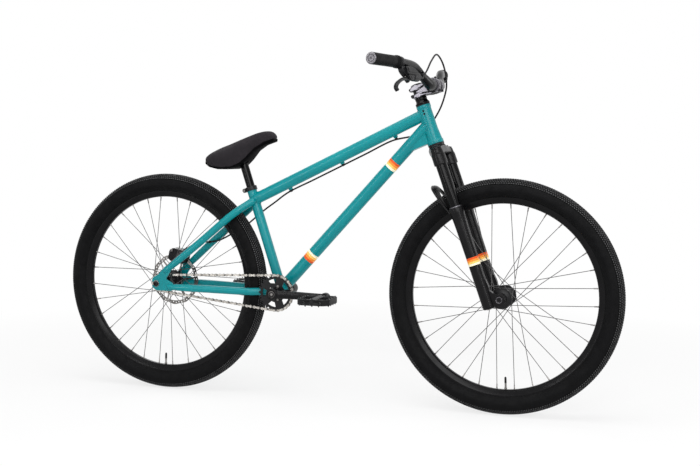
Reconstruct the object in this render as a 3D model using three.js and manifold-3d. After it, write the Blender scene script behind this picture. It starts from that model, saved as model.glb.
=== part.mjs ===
// Dirt jump bike: a steel frame, a suspension fork, two spoked wheels, a single-speed chain drive,
// a rear disc brake and a padded saddle, each piece as its own closed solid.
// Millimetres. The origin is on the ground midway between the axles: +X forward, +Y left, +Z up.
import * as THREE from "three";
import { mergeVertices } from "three/addons/utils/BufferGeometryUtils.js";
import Module from "manifold-3d";

const wasm = await Module();
wasm.setup();

// Fits shared by all pieces
const seatGap = 0.3;
const cutOverrun = 4;
const weldDistance = 0.0001;

// Bike layout; the frame stands clear of the tyres
const wheelbase = 1054;
const rimFlangeRadius = 286;
const tyreHeight = 48;
const tyreRadius = rimFlangeRadius + tyreHeight;
const bracketDrop = 14;
const tyreToBracket = 51;
const tyreToHeadTube = 137;
const bottomBracketHeight = tyreRadius - bracketDrop;
const chainstayLength = tyreRadius + tyreToBracket;
const axleToHeadTube = tyreRadius + tyreToHeadTube;
const seatAngle = 71.8;
const headAngle = 70.4;
const forkOffset = 45;

// Frame tubes
const headTubeLength = 115;
const headTubeRadius = 19.5;
const headTopLipRadius = 20.8;
const headTopLipHeight = 7;
const headTopNeckHeight = 3.5;
const headBottomLipRadius = 23.8;
const headBottomLipHeight = 9;
const headFlareHeight = 42;
const headBoreRadius = 16.5;
const topTubeRadius = 17.2;
const topTubeHeadDrop = 25;
const topTubeSeatDrop = 32;
const downTubeRadius = 18.2;
const downTubeHeadRise = 60;
const downTubeLift = 7;
const seatTubeLength = 320;
const seatTubeRadius = 14.3;
const seatTubeBoreDepth = 170;
const gussetHalfWidth = 14;
const gussetToeLength = 108;
const gussetToeDrop = 7;
const gussetHeelRise = 7;
const gussetTopDrop = 4;
const shellRadius = 21.5;
const shellHalfWidth = 34;
const shellBoreRadius = 18.5;
const stayRadius = 11.1;
const seatstayTopSpread = 17;
const seatstayTopDrop = 36;
const seatstayBendSpread = 45;
const seatstayBendAngle = 41.55;
const seatstayBendGap = 5.3;
const seatstayMidSpread = 52;
const seatstayMidReach = 129;
const seatstayMidRise = 122;
const seatstayEndReach = 31;
const seatstayEndRise = 40;
const chainstayEndReach = 42;
const chainstayEndDrop = 9;
const chainstayMidReach = 170;
const chainstayMidSpread = 59;
const chainstayBendGap = 42;
const chainstayBendSpread = 47;
const chainstayTyreGap = 4;
const chainstayTyreSpread = 33;
const chainstayRootSpread = 24;
const stayOverlap = 14;
const tubeSides = 14;
const roundSides = 16;
const fineSides = 12;
const boltSides = 10;
const smallSides = 8;
const fullTurn = 360;
const staySides = 10;
const staySteps = 10;

// Rear dropouts, axle and hose guides
const dropoutSpacing = 135;
const dropoutThickness = 6;
const dropoutRearReach = 17;
const dropoutTopRise = 30;
const dropoutFootDrop = 23;
const axleSlotRadius = 5.2;
const axleSlotLength = 30;
const caliperMountReach = 14;
const caliperMountRise = 97;
const caliperMountWidth = 18;
const rearAxleRadius = 7;
const axleCollarRadius = 12;
const axleCollarLength = 6;
const axleHeadRadius = 10.5;
const axleHeadLength = 6;
const axleHeadChamfer = 2;
const axleThreadRadius = 4.8;
const axleSocketDepth = 18;
const hoseGuideShares = [0.812, 0.507, 0.199];
const hoseGuideLength = 12;
const hoseGuideWidth = 7;
const hoseSide = 8;
const hoseDrop = 24.2;
const stayGuideReach = 129;
const stayGuideRise = 124;
const stayGuideInner = 40.6;
const stayGuideOuter = 48;

// Headset
const cupHeight = 3;
const cupBoreRadius = 15;
const lowerCupHeight = 8;
const lowerCupRadius = 22.8;
const coverHeight = 21;
const coverBaseRadius = 20.8;
const coverTopRadius = 16.6;
const coverBaseHeight = 4;

// Fork
const steererRadius = 14.3;
const crownBossRadius = 25;
const crownBridgeHeight = 22;
const crownBridgeHalfWidth = 17;
const stanchionRadius = 16;
const stanchionOffset = 10;
const stanchionSpread = 64;
const socketRadius = 18.5;
const socketLength = 57;
const socketDomeHeight = 7;
const socketDomeRadius = 15.5;
const stanchionLength = 290;
const exposedStanchion = 125;
const legTopRadius = 18.4;
const legEndRadius = 17.2;
const legLength = 297;
const legBoreDepth = 225;
const archRadius = 8;
const archReach = 41;
const archRise = 74;
const archSteps = 12;
const lugRadius = 20;
const lugNeckRise = 66;
const lugBendRise = 34;
const lugBendOffset = 26;
const lugThickness = 16;
const frontHubWidth = 110;
const frontAxleRadius = 7.4;
const frontAxleHeadRadius = 11;
const frontAxleHeadLength = 6;
const frontAxleSocketRadius = 4;
const frontAxleSocketDepth = 12;

// Stem and handlebar
const stemClampHeight = 35;
const stemClampRadius = 20;
const stemReach = 49.6;
const barClampDrop = 0.8;
const barClampRadius = 15.9;
const barClampWall = 5;
const stemBridgeHalfWidth = 17;
const stemBarHalfWidth = 26;
const faceplateThickness = 5;
const faceplateSplit = 1.5;
const barBoltSpread = 18;
const barBoltRadius = 3;
const pinchBoltRadius = 4.5;
const pinchBoltOffset = 21;
const pinchBoltRise = 9.5;
const pinchBoltHalfLength = 12;
const topCapHeight = 4;
const topCapRadius = 17;
const topCapChamfer = 3.4;
const barRadius = 11.1;
const barEndSpread = 388;
const barGripSpread = 255;
const barSteps = 28;
const barSides = 10;
const barClampStraight = 50;
const barTaperEnd = 118;
const gripRadius = 15.3;
const gripRingRadius = 17.2;
const gripRingLength = 8;
const gripCapRadius = 14;
const gripCapLength = 3;
const gripBoreRadius = 11.8;
const gripStartOffset = 28.6;
const gripEndOffset = 0;
const gripStartRise = 57.4;
const gripEndRise = 67;

// Brake lever, in a frame on the bar: X inboard along the bar, Z up from it
const leverClampSpread = 244;
const leverClampRadius = 15.5;
const leverClampHalfWidth = 6;
const masterDrop = 37;
const masterRadius = 10;
const masterStart = 16;
const masterEnd = 92;
const reservoirRadius = 12.5;
const reservoirStart = 46;
const reservoirEnd = 84;
const leverArmHalfWidth = 8;
const leverArmHalfThickness = 6.5;
const leverPivotInboard = 28;
const leverPivotDrop = 44;
const leverPinRadius = 2.5;
const cheekReach = 13;
const cheekDrop = 53;
const bladeHalfThickness = 4.2;
const bladeRootRadius = 6;
const bladeReach = 98;
const bladeDrop = 38;
const leverSlotTop = 23;
const leverSlotInboard = 44;
const hoseSpigotRadius = 4;
const hoseSpigotLength = 10;

// Wheels
const tyreHalfWidth = 29;
const tyreWall = 4;
const rimDepth = 23;
const rimHookDepth = 8;
const rimWall = 2.5;
const rimHalfWidth = 15.5;
const rimFloorHalfWidth = 6;
const valveRadius = 3;
const valveLength = 36;
const spokeRadius = 0.9;
const spokesPerSide = 16;
const spokeCrosses = 3;
const spokeStart = 31.4;
const rimSpokeSpread = 4;
const flangeRadius = 30.3;
const flangeSpread = 36;
const frontFlangeSpread = 34;
const flangeThickness = 4;
const hubBarrelRadius = 16;
const hubCapRadius = 14;
const hubEndRadius = 11;
const hubEndLength = 4;
const wheelSides = 28;
const hubSides = 12;
const rearWheelTurn = 1.6;
const frontWheelTurn = -2.3;
const rearHubLeftEnd = 60.8;
const rearHubRightEnd = 41;

// Brake disc and caliper
const discRadius = 80;
const discBand = 17;
const discThickness = 1.8;
const discSpread = 52;
const discWave = 2;
const discWaves = 12;
const discArms = 6;
const discArmHalfAngle = 9;
const discHubRadius = 27;
const discBoreRadius = 16.6;
const discMountRadius = 25;
const caliperAngle = 79;
const caliperInner = 56;
const caliperOuter = 98;
const caliperHalfLength = 30;
const caliperRight = 37;
const caliperSlotHalf = 2.6;
const caliperChamfer = 9;
const caliperSlotTop = 85;
const hosePortSpread = 56;
const caliperPortReach = 30;
const caliperPortRise = 91;
const caliperPortEndReach = 42;
const caliperPortEndRise = 99;

// Chain drive
const chainPitch = 12.7;
const ringTeeth = 26;
const cogTeeth = 12;
const chainSpread = 50;
const plateHalfHeight = 4.1;
const plateThickness = 1;
const plateHalfSpacing = 2.8;
const rollerRadius = 3.8;
const rollerStep = 8;
const ringSteps = 13;
const cogSteps = 8;
const toothRise = 2.6;
const toothRootDrop = 3.6;
const toothFlankShare = 0.34;
const ringThickness = 3;
const ringWindows = 5;
const ringWindowInner = 26;
const ringWindowOuter = 43.5;
const ringWindowHalfAngle = 21;
const ringWindowInnerHalfAngle = 15;
const cogThickness = 2.6;
const driverRadius = 16;
const driverLeft = 41.5;
const driverRight = 60;
const driverBoreRadius = 7.4;
const spindleRadius = 9.5;
const spindleCollarRadius = 13;
const crankLength = 165;
const crankRestAngle = 0.7;
const bossRadius = 18;
const bossInner = 51.8;
const bossOuter = 88;
const armSpread = 80;
const armRootRadius = 13;
const armEndRadius = 10.5;
const eyeRadius = 14;
const eyeInner = 70;
const eyeOuter = 91;
const bearingOverhang = 4;
const bearingSeat = 10;
const pedalAxleRadius = 6.5;
const pedalBarrelRadius = 10;
const pedalInner = 97;
const pedalWidth = 98;
const pedalHalfLength = 48;
const pedalHalfHeight = 9;
const pedalRailWidth = 11;
const pedalChamfer = 14;
const pedalAxleEndWall = 6;
const railHoleRadius = 3.6;
const railHoleSides = 6;
const pinHeight = 3;
const pinRadius = 1.6;
const pinSides = 4;

// Seat
const postRadius = 12.7;
const postSides = 16;
const postInsertion = 140;
const postTop = 418;
const collarRadius = 17.5;
const collarBelow = 4;
const collarAbove = 9;
const collarLugLength = 9;
const collarLugHalfWidth = 7;
const collarBoltRadius = 4.5;
const collarBoltHalfLength = 11;
const saddleTailReach = 113.2;
const saddleLength = 226;
const saddleDrop = 33.1;
const saddleRise = 114;
const saddleHalfWidth = 66;
const saddleWall = 11;
const saddlePadding = 22;
const saddleBaseThickness = 6;
const saddleBaseClearance = 1.2;
const saddlePostRadius = 18;
const saddleSocketRise = 23;
const saddlePostGrip = 18;

// Brake hose: its route is chosen by hand, in millimetres from the rear axle and the floor
const hoseRadius = 2.5;
const hoseSides = 8;
const hoseSteps = 50;
const hoseRoute = [
  [848, -131, 944],
  [852, -108, 962],
  [857, -80, 990],
  [863, -45, 1010],
  [870, -8, 993],
  [875, 14, 962],
  [876, 25, 926],
  [870, 30, 900],
  [858, 31, 866],
  [840, 32, 834],
  [821, 31, 807],
  [797, 25, 789],
  [768, 14, 782],
  [724, 8, 772.1],
  [640, 8, 731.7],
  [563, 8, 694.7],
  [480, 8, 654.8],
  [400, 8, 616.4],
  [355, 14, 586],
  [319, 20, 562],
  [283, 23, 534],
  [262, 30, 519],
  [240, 37, 506],
  [201, 45, 485],
  [158, 40, 463],
  [129, 36, 457.5],
  [112, 36.5, 457],
  [90, 43, 456],
  [70, 50, 448],
];

const rearAxleX = -wheelbase / 2;
const frontAxleX = wheelbase / 2;
const toRadians = Math.PI / 180;

const paint = { teal: 0x019a9c, black: 0x17181a, grey: 0xb0adb6, steel: 0x8f8b86 };

function finish(color, roughness, metalness) {
  return new THREE.MeshStandardMaterial({ color, roughness, metalness });
}

const tealPaint = finish(paint.teal, 0.3, 0.1);
const blackPaint = finish(paint.black, 0.4, 0.2);
const blackAnodised = finish(paint.black, 0.45, 0.5);
const blackRubber = finish(paint.black, 0.85, 0);
const blackFabric = finish(paint.black, 0.95, 0);
const greyAnodised = finish(paint.grey, 0.35, 0.7);
const bareSteel = finish(paint.steel, 0.35, 0.9);

// Mesh helpers

// Welds the corners, drops empty triangles and turns the faces outward.
function closed(geometry) {
  const bare = geometry.clone();
  bare.deleteAttribute("normal");
  bare.deleteAttribute("uv");
  const welded = mergeVertices(bare, weldDistance);
  const corners = welded.index.array;
  const kept = [];
  for (let i = 0; i < corners.length; i += 3) {
    const [a, b, c] = [corners[i], corners[i + 1], corners[i + 2]];
    if (a !== b && b !== c && c !== a) kept.push(a, b, c);
  }
  const position = welded.attributes.position;
  const [p, q, r] = [new THREE.Vector3(), new THREE.Vector3(), new THREE.Vector3()];
  let volume = 0;
  for (let i = 0; i < kept.length; i += 3) {
    p.fromBufferAttribute(position, kept[i]);
    q.fromBufferAttribute(position, kept[i + 1]);
    r.fromBufferAttribute(position, kept[i + 2]);
    volume += p.dot(q.cross(r));
  }
  if (volume < 0) {
    for (let i = 0; i < kept.length; i += 3) {
      [kept[i], kept[i + 1]] = [kept[i + 1], kept[i]];
    }
  }
  welded.setIndex(kept);
  return welded;
}

function toSolid(geometry) {
  const shape = closed(geometry);
  const mesh = new wasm.Mesh({
    numProp: 3,
    vertProperties: new Float32Array(shape.attributes.position.array),
    triVerts: new Uint32Array(shape.index.array),
  });
  return new wasm.Manifold(mesh);
}

function toGeometry(solid) {
  const mesh = solid.getMesh();
  const geometry = new THREE.BufferGeometry();
  geometry.setAttribute("position", new THREE.BufferAttribute(new Float32Array(mesh.vertProperties), 3));
  geometry.setIndex(Array.from(mesh.triVerts));
  return geometry;
}

function joined(...geometries) {
  const solids = geometries.map(toSolid);
  return toGeometry(solids.reduce((whole, next) => whole.add(next)));
}

function cut(geometry, ...cutters) {
  const solids = cutters.map(toSolid);
  return toGeometry(solids.reduce((whole, next) => whole.subtract(next), toSolid(geometry)));
}

function common(first, second) {
  return toGeometry(toSolid(first).intersect(toSolid(second)));
}

function part(name, geometry, material) {
  const shape = closed(geometry);
  shape.computeVertexNormals();
  const mesh = new THREE.Mesh(shape, material);
  mesh.name = name;
  return mesh;
}

function group(...members) {
  const made = new THREE.Group();
  made.add(...members);
  return made;
}

// A straight round bar from one point to another, tapered when the two radii differ.
function bar(from, to, radius, sides, endRadius = radius) {
  const along = to.clone().sub(from);
  const geometry = new THREE.CylinderGeometry(endRadius, radius, along.length(), sides, 1);
  const turn = new THREE.Quaternion().setFromUnitVectors(new THREE.Vector3(0, 1, 0), along.clone().normalize());
  geometry.applyQuaternion(turn);
  const middle = from.clone().add(to).multiplyScalar(0.5);
  return geometry.translate(middle.x, middle.y, middle.z);
}

// The same bar, longer at both ends.
function cutterBar(from, to, radius, sides, overrun = cutOverrun) {
  const along = to.clone().sub(from).setLength(overrun);
  return bar(from.clone().sub(along), to.clone().add(along), radius, sides);
}

// The radius of a faceted bore that clears a round shaft all the way round.
function boreFor(shaftRadius, sides) {
  return (shaftRadius + seatGap) / Math.cos(Math.PI / sides);
}

// A box between two opposite corners.
function block(low, high) {
  const size = new THREE.Vector3(...high).sub(new THREE.Vector3(...low));
  const geometry = new THREE.BoxGeometry(Math.abs(size.x), Math.abs(size.y), Math.abs(size.z));
  return geometry.translate((low[0] + high[0]) / 2, (low[1] + high[1]) / 2, (low[2] + high[2]) / 2);
}

// Turns a [radius, place] outline about the Y axis.
function turnedY(outline, sides) {
  return new THREE.LatheGeometry(outline.map(([radius, place]) => new THREE.Vector2(radius, place)), sides);
}

// Turns a [radius, place] outline about the Z axis.
function turnedZ(outline, sides) {
  return turnedY(outline, sides).rotateX(Math.PI / 2);
}

function outlineShape(outline, holes = []) {
  const shape = new THREE.Shape(outline.map(([across, up]) => new THREE.Vector2(across, up)));
  for (const hole of holes) {
    shape.holes.push(new THREE.Path(hole.map(([across, up]) => new THREE.Vector2(across, up))));
  }
  return shape;
}

// A flat plate with its outline in X and Z, between two places along Y.
function plateXZ(outline, fromY, toY, holes = []) {
  const depth = Math.abs(toY - fromY);
  const geometry = new THREE.ExtrudeGeometry(outlineShape(outline, holes), { depth, bevelEnabled: false });
  geometry.rotateX(Math.PI / 2);
  return geometry.translate(0, Math.max(fromY, toY), 0);
}

// A flat plate with its outline in X and Y, between two heights.
function plateXY(outline, fromZ, toZ, holes = []) {
  const depth = Math.abs(toZ - fromZ);
  const geometry = new THREE.ExtrudeGeometry(outlineShape(outline, holes), { depth, bevelEnabled: false });
  return geometry.translate(0, 0, Math.min(fromZ, toZ));
}

// Points of a circular arc in a plane, angles in degrees.
function arc(centre, radius, fromAngle, toAngle, steps) {
  const points = [];
  for (let i = 0; i <= steps; i += 1) {
    const angle = (fromAngle + ((toAngle - fromAngle) * i) / steps) * toRadians;
    points.push([centre[0] + radius * Math.cos(angle), centre[1] + radius * Math.sin(angle)]);
  }
  return points;
}

function circle(centre, radius, sides) {
  return arc(centre, radius, 0, fullTurn - fullTurn / sides, sides - 1);
}

// A round tube along a curve.
function tubeAlong(curve, radius, sides, steps) {
  const section = outlineShape(circle([0, 0], radius, sides));
  return new THREE.ExtrudeGeometry(section, { steps, bevelEnabled: false, extrudePath: curve });
}

function smoothPath(points) {
  return new THREE.CatmullRomCurve3(points.map((point) => new THREE.Vector3(...point)), false, "centripetal");
}

// Closes a run of equal rings of points into one skin with a flat fan at each end.
function loft(rings) {
  const count = rings[0].length;
  const places = rings.flat().flatMap((point) => [point.x, point.y, point.z]);
  const corners = [];
  for (let ring = 0; ring + 1 < rings.length; ring += 1) {
    for (let i = 0; i < count; i += 1) {
      const next = (i + 1) % count;
      const [a, b] = [ring * count + i, ring * count + next];
      const [c, d] = [a + count, b + count];
      corners.push(a, b, d, a, d, c);
    }
  }
  const last = (rings.length - 1) * count;
  for (let i = 1; i + 1 < count; i += 1) {
    corners.push(0, i + 1, i);
    corners.push(last, last + i, last + i + 1);
  }
  const geometry = new THREE.BufferGeometry();
  geometry.setAttribute("position", new THREE.Float32BufferAttribute(places, 3));
  geometry.setIndex(corners);
  return geometry;
}

// Frame points, in the bike's own X, Y and Z.

const rearAxle = new THREE.Vector3(rearAxleX, 0, tyreRadius);
const frontAxle = new THREE.Vector3(frontAxleX, 0, tyreRadius);
const bracketReach = Math.sqrt(chainstayLength ** 2 - bracketDrop ** 2);
const bracket = new THREE.Vector3(rearAxleX + bracketReach, 0, bottomBracketHeight);
const seatUp = new THREE.Vector3(-Math.cos(seatAngle * toRadians), 0, Math.sin(seatAngle * toRadians));
const steerUp = new THREE.Vector3(-Math.cos(headAngle * toRadians), 0, Math.sin(headAngle * toRadians));
const steerForward = new THREE.Vector3(Math.sin(headAngle * toRadians), 0, Math.cos(headAngle * toRadians));
const steerTilt = (headAngle - 90) * toRadians;
const headFoot = frontAxle.clone().addScaledVector(steerForward, -forkOffset).addScaledVector(steerUp, axleToHeadTube);
const headTop = headFoot.clone().addScaledVector(steerUp, headTubeLength);
const topTubeHead = headTop.clone().addScaledVector(steerUp, -topTubeHeadDrop);
const downTubeHead = headFoot.clone().addScaledVector(steerUp, downTubeHeadRise);
const seatTop = bracket.clone().addScaledVector(seatUp, seatTubeLength);
const topTubeSeat = seatTop.clone().addScaledVector(seatUp, -topTubeSeatDrop);
const downTubeFoot = bracket.clone().add(new THREE.Vector3(0, 0, downTubeLift));
const dropoutInner = dropoutSpacing / 2;
const dropoutOuter = dropoutInner + dropoutThickness;

function fromRearAxle(reach, side, rise) {
  return new THREE.Vector3(rearAxleX + reach, side, tyreRadius + rise);
}

// Turns a piece from the head tube's frame into the bike's.
function placedAtHead(geometry) {
  return geometry.rotateY(steerTilt).translate(headFoot.x, headFoot.y, headFoot.z);
}

function headTubeSkin(extra) {
  return [
    [headBottomLipRadius + extra, 0],
    [headBottomLipRadius + extra, headBottomLipHeight + extra],
    [headTubeRadius + extra, headFlareHeight],
    [headTubeRadius + extra, headTubeLength - headTopLipHeight - headTopNeckHeight - extra],
    [headTopLipRadius + extra, headTubeLength - headTopLipHeight - extra],
    [headTopLipRadius + extra, headTubeLength],
  ];
}

function headTubeCutter() {
  return placedAtHead(turnedZ([[0, 0], ...headTubeSkin(seatGap), [0, headTubeLength]], roundSides));
}

function seatTubeCutter() {
  return cutterBar(bracket, seatTop, seatTubeRadius + seatGap, tubeSides);
}

function shellCutter() {
  const left = bracket.clone().setY(shellHalfWidth);
  const right = bracket.clone().setY(-shellHalfWidth);
  return cutterBar(right, left, shellRadius + seatGap, roundSides);
}

function makeHeadTube() {
  const skin = [[headBoreRadius, 0], ...headTubeSkin(0), [headBoreRadius, headTubeLength], [headBoreRadius, 0]];
  return part("head_tube", placedAtHead(turnedZ(skin, roundSides)), tealPaint);
}

function hoseGuides() {
  const along = topTubeHead.clone().sub(topTubeSeat);
  return hoseGuideShares.map((share) => {
    const middle = topTubeSeat.clone().addScaledVector(along, share);
    const guide = block(
      [-hoseGuideLength / 2, hoseSide - hoseGuideWidth / 2, -hoseDrop + hoseRadius + seatGap],
      [hoseGuideLength / 2, hoseSide + hoseGuideWidth / 2, -topTubeRadius / 2],
    );
    guide.rotateY(-Math.atan2(along.z, along.x));
    return guide.translate(middle.x, middle.y, middle.z);
  });
}

function makeTopTube() {
  const tube = bar(topTubeSeat, topTubeHead, topTubeRadius, tubeSides);
  const guided = joined(tube, ...hoseGuides());
  return part("top_tube", cut(guided, headTubeCutter(), seatTubeCutter()), tealPaint);
}

function makeDownTube() {
  const tube = bar(downTubeFoot, downTubeHead, downTubeRadius, tubeSides);
  const topTube = cutterBar(topTubeSeat, topTubeHead, topTubeRadius + seatGap, tubeSides);
  const geometry = cut(tube, headTubeCutter(), shellCutter(), seatTubeCutter(), topTube);
  return part("down_tube", geometry, tealPaint);
}

function makeGusset() {
  const along = downTubeHead.clone().sub(downTubeFoot).normalize();
  const under = new THREE.Vector3(along.z, 0, -along.x);
  const heel = headFoot.clone().addScaledVector(steerUp, gussetHeelRise);
  const toe = downTubeHead.clone().addScaledVector(along, -gussetToeLength).addScaledVector(under, gussetToeDrop);
  const top = downTubeHead.clone().addScaledVector(steerUp, -gussetTopDrop);
  const outline = [heel, toe, top].map((point) => [point.x, point.z]);
  const plate = plateXZ(outline, -gussetHalfWidth, gussetHalfWidth);
  const tubeCutter = cutterBar(downTubeFoot, downTubeHead, downTubeRadius + seatGap, tubeSides);
  return part("head_gusset", cut(plate, headTubeCutter(), tubeCutter), tealPaint);
}

function makeSeatTube() {
  const tube = bar(bracket, seatTop, seatTubeRadius, tubeSides);
  const boreFoot = seatTop.clone().addScaledVector(seatUp, -seatTubeBoreDepth);
  const boreTop = seatTop.clone().addScaledVector(seatUp, cutOverrun);
  const bore = bar(boreFoot, boreTop, postRadius + seatGap, postSides);
  return part("seat_tube", cut(tube, bore, shellCutter()), tealPaint);
}

function makeShell() {
  const geometry = turnedY(
    [
      [shellBoreRadius, -shellHalfWidth],
      [shellRadius, -shellHalfWidth],
      [shellRadius, shellHalfWidth],
      [shellBoreRadius, shellHalfWidth],
      [shellBoreRadius, -shellHalfWidth],
    ],
    roundSides,
  );
  const mesh = part("bottom_bracket_shell", geometry, tealPaint);
  mesh.position.copy(bracket);
  return mesh;
}

function seatstayPath(side) {
  const top = seatTop.clone().addScaledVector(seatUp, -seatstayTopDrop);
  const [bend] = arc([0, 0], tyreRadius - seatstayBendGap, seatstayBendAngle, seatstayBendAngle, 1);
  return smoothPath([
    [top.x, side * seatstayTopSpread, top.z],
    fromRearAxle(bend[0], side * seatstayBendSpread, bend[1]).toArray(),
    fromRearAxle(seatstayMidReach, side * seatstayMidSpread, seatstayMidRise).toArray(),
    fromRearAxle(seatstayEndReach, side * (dropoutInner + dropoutThickness / 2), seatstayEndRise).toArray(),
  ]);
}

function chainstayPath(side) {
  return smoothPath([
    [bracket.x, side * chainstayRootSpread, bracket.z],
    fromRearAxle(tyreRadius - chainstayTyreGap, side * chainstayTyreSpread, -bracketDrop).toArray(),
    fromRearAxle(tyreRadius - chainstayBendGap, side * chainstayBendSpread, -bracketDrop).toArray(),
    fromRearAxle(chainstayMidReach, side * chainstayMidSpread, -(bracketDrop + chainstayEndDrop) / 2).toArray(),
    fromRearAxle(chainstayEndReach, side * (dropoutInner + dropoutThickness / 2), -chainstayEndDrop).toArray(),
  ]);
}

// The dropout plate's outline about the axle; the left one carries the caliper as well.
function dropoutOutline(side) {
  const lean = Math.atan2(seatstayMidRise - seatstayEndRise, seatstayMidReach - seatstayEndReach);
  const seatstayTip = [
    seatstayEndReach + stayOverlap * Math.cos(lean),
    seatstayEndRise + stayOverlap * Math.sin(lean),
  ];
  const across = [-stayRadius * Math.sin(lean), stayRadius * Math.cos(lean)];
  const topCorner = [seatstayTip[0] + across[0], seatstayTip[1] + across[1]];
  const innerCorner = [seatstayTip[0] - across[0], seatstayTip[1] - across[1]];
  const chainstayTip = chainstayEndReach + stayOverlap;
  const rear = [
    [-dropoutRearReach, axleSlotRadius],
    [-dropoutRearReach, dropoutTopRise / 2],
    [-dropoutRearReach / 2, dropoutTopRise],
  ];
  const mount = [
    [caliperMountReach - caliperMountWidth, caliperMountRise],
    [caliperMountReach + caliperMountWidth / 2, caliperMountRise],
  ];
  const foot = [
    [chainstayTip, -chainstayEndDrop + stayRadius],
    [chainstayTip, -chainstayEndDrop - stayRadius],
    [0, -dropoutFootDrop],
    [-dropoutRearReach, -dropoutFootDrop / 2],
  ];
  const crotch = [chainstayEndReach - stayRadius, (seatstayEndRise - chainstayEndDrop) / 2];
  const upper = side > 0 ? [...rear, ...mount, topCorner] : [...rear, topCorner];
  return [...upper, innerCorner, crotch, ...foot];
}

// The plate, or with an extra the slightly larger cutter that clears it.
function dropoutPlate(side, extra = 0) {
  const outline = dropoutOutline(side).map(([reach, rise]) => {
    const grown = 1 + (2 * extra) / Math.hypot(reach, rise);
    return [rearAxleX + reach * grown, tyreRadius + rise * grown];
  });
  return plateXZ(outline, side * (dropoutInner - extra), side * (dropoutOuter + extra));
}

function makeDropout(name, side) {
  const slotEnd = axleSlotRadius;
  const slot = plateXZ(
    [
      ...arc([rearAxleX, tyreRadius], axleSlotRadius, -90, 90, 6),
      [rearAxleX - axleSlotLength, tyreRadius + slotEnd],
      [rearAxleX - axleSlotLength, tyreRadius - slotEnd],
    ],
    side * (dropoutInner - cutOverrun),
    side * (dropoutOuter + cutOverrun),
  );
  return part(name, cut(dropoutPlate(side), slot), tealPaint);
}

function seatstayTube(side, radius) {
  return tubeAlong(seatstayPath(side), radius, staySides, staySteps);
}

function stayGuide() {
  const half = hoseGuideLength / 2;
  const middle = fromRearAxle(stayGuideReach, 0, stayGuideRise);
  return block(
    [middle.x - half, stayGuideInner, middle.z - hoseGuideWidth / 2],
    [middle.x + half, stayGuideOuter, middle.z + hoseGuideWidth / 2],
  );
}

function makeSeatstay(name, side) {
  const tube = seatstayTube(side, stayRadius);
  const guided = side > 0 ? joined(tube, stayGuide()) : tube;
  const topTube = cutterBar(topTubeSeat, topTubeHead, topTubeRadius + seatGap, tubeSides, topTubeRadius);
  return part(name, cut(guided, dropoutPlate(side, seatGap), topTube, seatTubeCutter()), tealPaint);
}

function makeChainstay(name, side) {
  const tube = tubeAlong(chainstayPath(side), stayRadius, staySides, staySteps);
  return part(name, cut(tube, dropoutPlate(side, seatGap), shellCutter()), tealPaint);
}

function makeRearFrame() {
  return group(
    makeSeatstay("seatstay_right", -1),
    makeSeatstay("seatstay_left", 1),
    makeChainstay("chainstay_right", -1),
    makeChainstay("chainstay_left", 1),
    makeDropout("dropout_right", -1),
    makeDropout("dropout_left", 1),
  );
}

// Headset cups stay with the frame; the cover turns with the fork.
function makeUpperCup() {
  const foot = headTubeLength + seatGap;
  const geometry = turnedZ(
    [
      [cupBoreRadius, foot],
      [headTopLipRadius, foot],
      [headTopLipRadius, foot + cupHeight],
      [cupBoreRadius, foot + cupHeight],
      [cupBoreRadius, foot],
    ],
    roundSides,
  );
  return part("headset_upper_cup", placedAtHead(geometry), blackAnodised);
}

function makeLowerCup() {
  const geometry = turnedZ(
    [
      [cupBoreRadius, -seatGap],
      [headBottomLipRadius, -seatGap],
      [lowerCupRadius, -lowerCupHeight],
      [cupBoreRadius, -lowerCupHeight],
      [cupBoreRadius, -seatGap],
    ],
    roundSides,
  );
  return part("headset_lower_cup", placedAtHead(geometry), blackAnodised);
}

// Steering pieces, in a frame at the foot of the head tube: X forward, Z up the steering axis.

const coverFoot = headTubeLength + 2 * seatGap + cupHeight;
const coverTop = coverFoot + coverHeight;
const stemFoot = coverTop + seatGap;
const stemTop = stemFoot + stemClampHeight;
const stemMiddle = (stemFoot + stemTop) / 2;
const barMiddle = stemMiddle - barClampDrop;
const crownTop = -lowerCupHeight - seatGap;
const socketFoot = crownTop - socketLength;
const legTop = socketFoot - exposedStanchion;
const legFoot = legTop - legLength;

function makeHeadsetCover() {
  const geometry = turnedZ(
    [
      [cupBoreRadius, coverFoot],
      [coverBaseRadius, coverFoot],
      [coverBaseRadius, coverFoot + coverBaseHeight],
      [coverTopRadius, coverFoot + coverHeight / 2],
      [coverTopRadius, coverTop],
      [cupBoreRadius, coverTop],
      [cupBoreRadius, coverFoot],
    ],
    roundSides,
  );
  return part("headset_cover", geometry, blackAnodised);
}

function stanchionBar(side, radius, fromHeight, toHeight, sides, endRadius = radius) {
  const foot = new THREE.Vector3(stanchionOffset, side * stanchionSpread, fromHeight);
  const top = new THREE.Vector3(stanchionOffset, side * stanchionSpread, toHeight);
  return bar(foot, top, radius, sides, endRadius);
}

function crownSocket(side) {
  const shoulder = crownTop - socketDomeHeight;
  const dome = stanchionBar(side, socketRadius, shoulder, crownTop, tubeSides, socketDomeRadius);
  return joined(stanchionBar(side, socketRadius, socketFoot, shoulder, tubeSides), dome);
}

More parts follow.
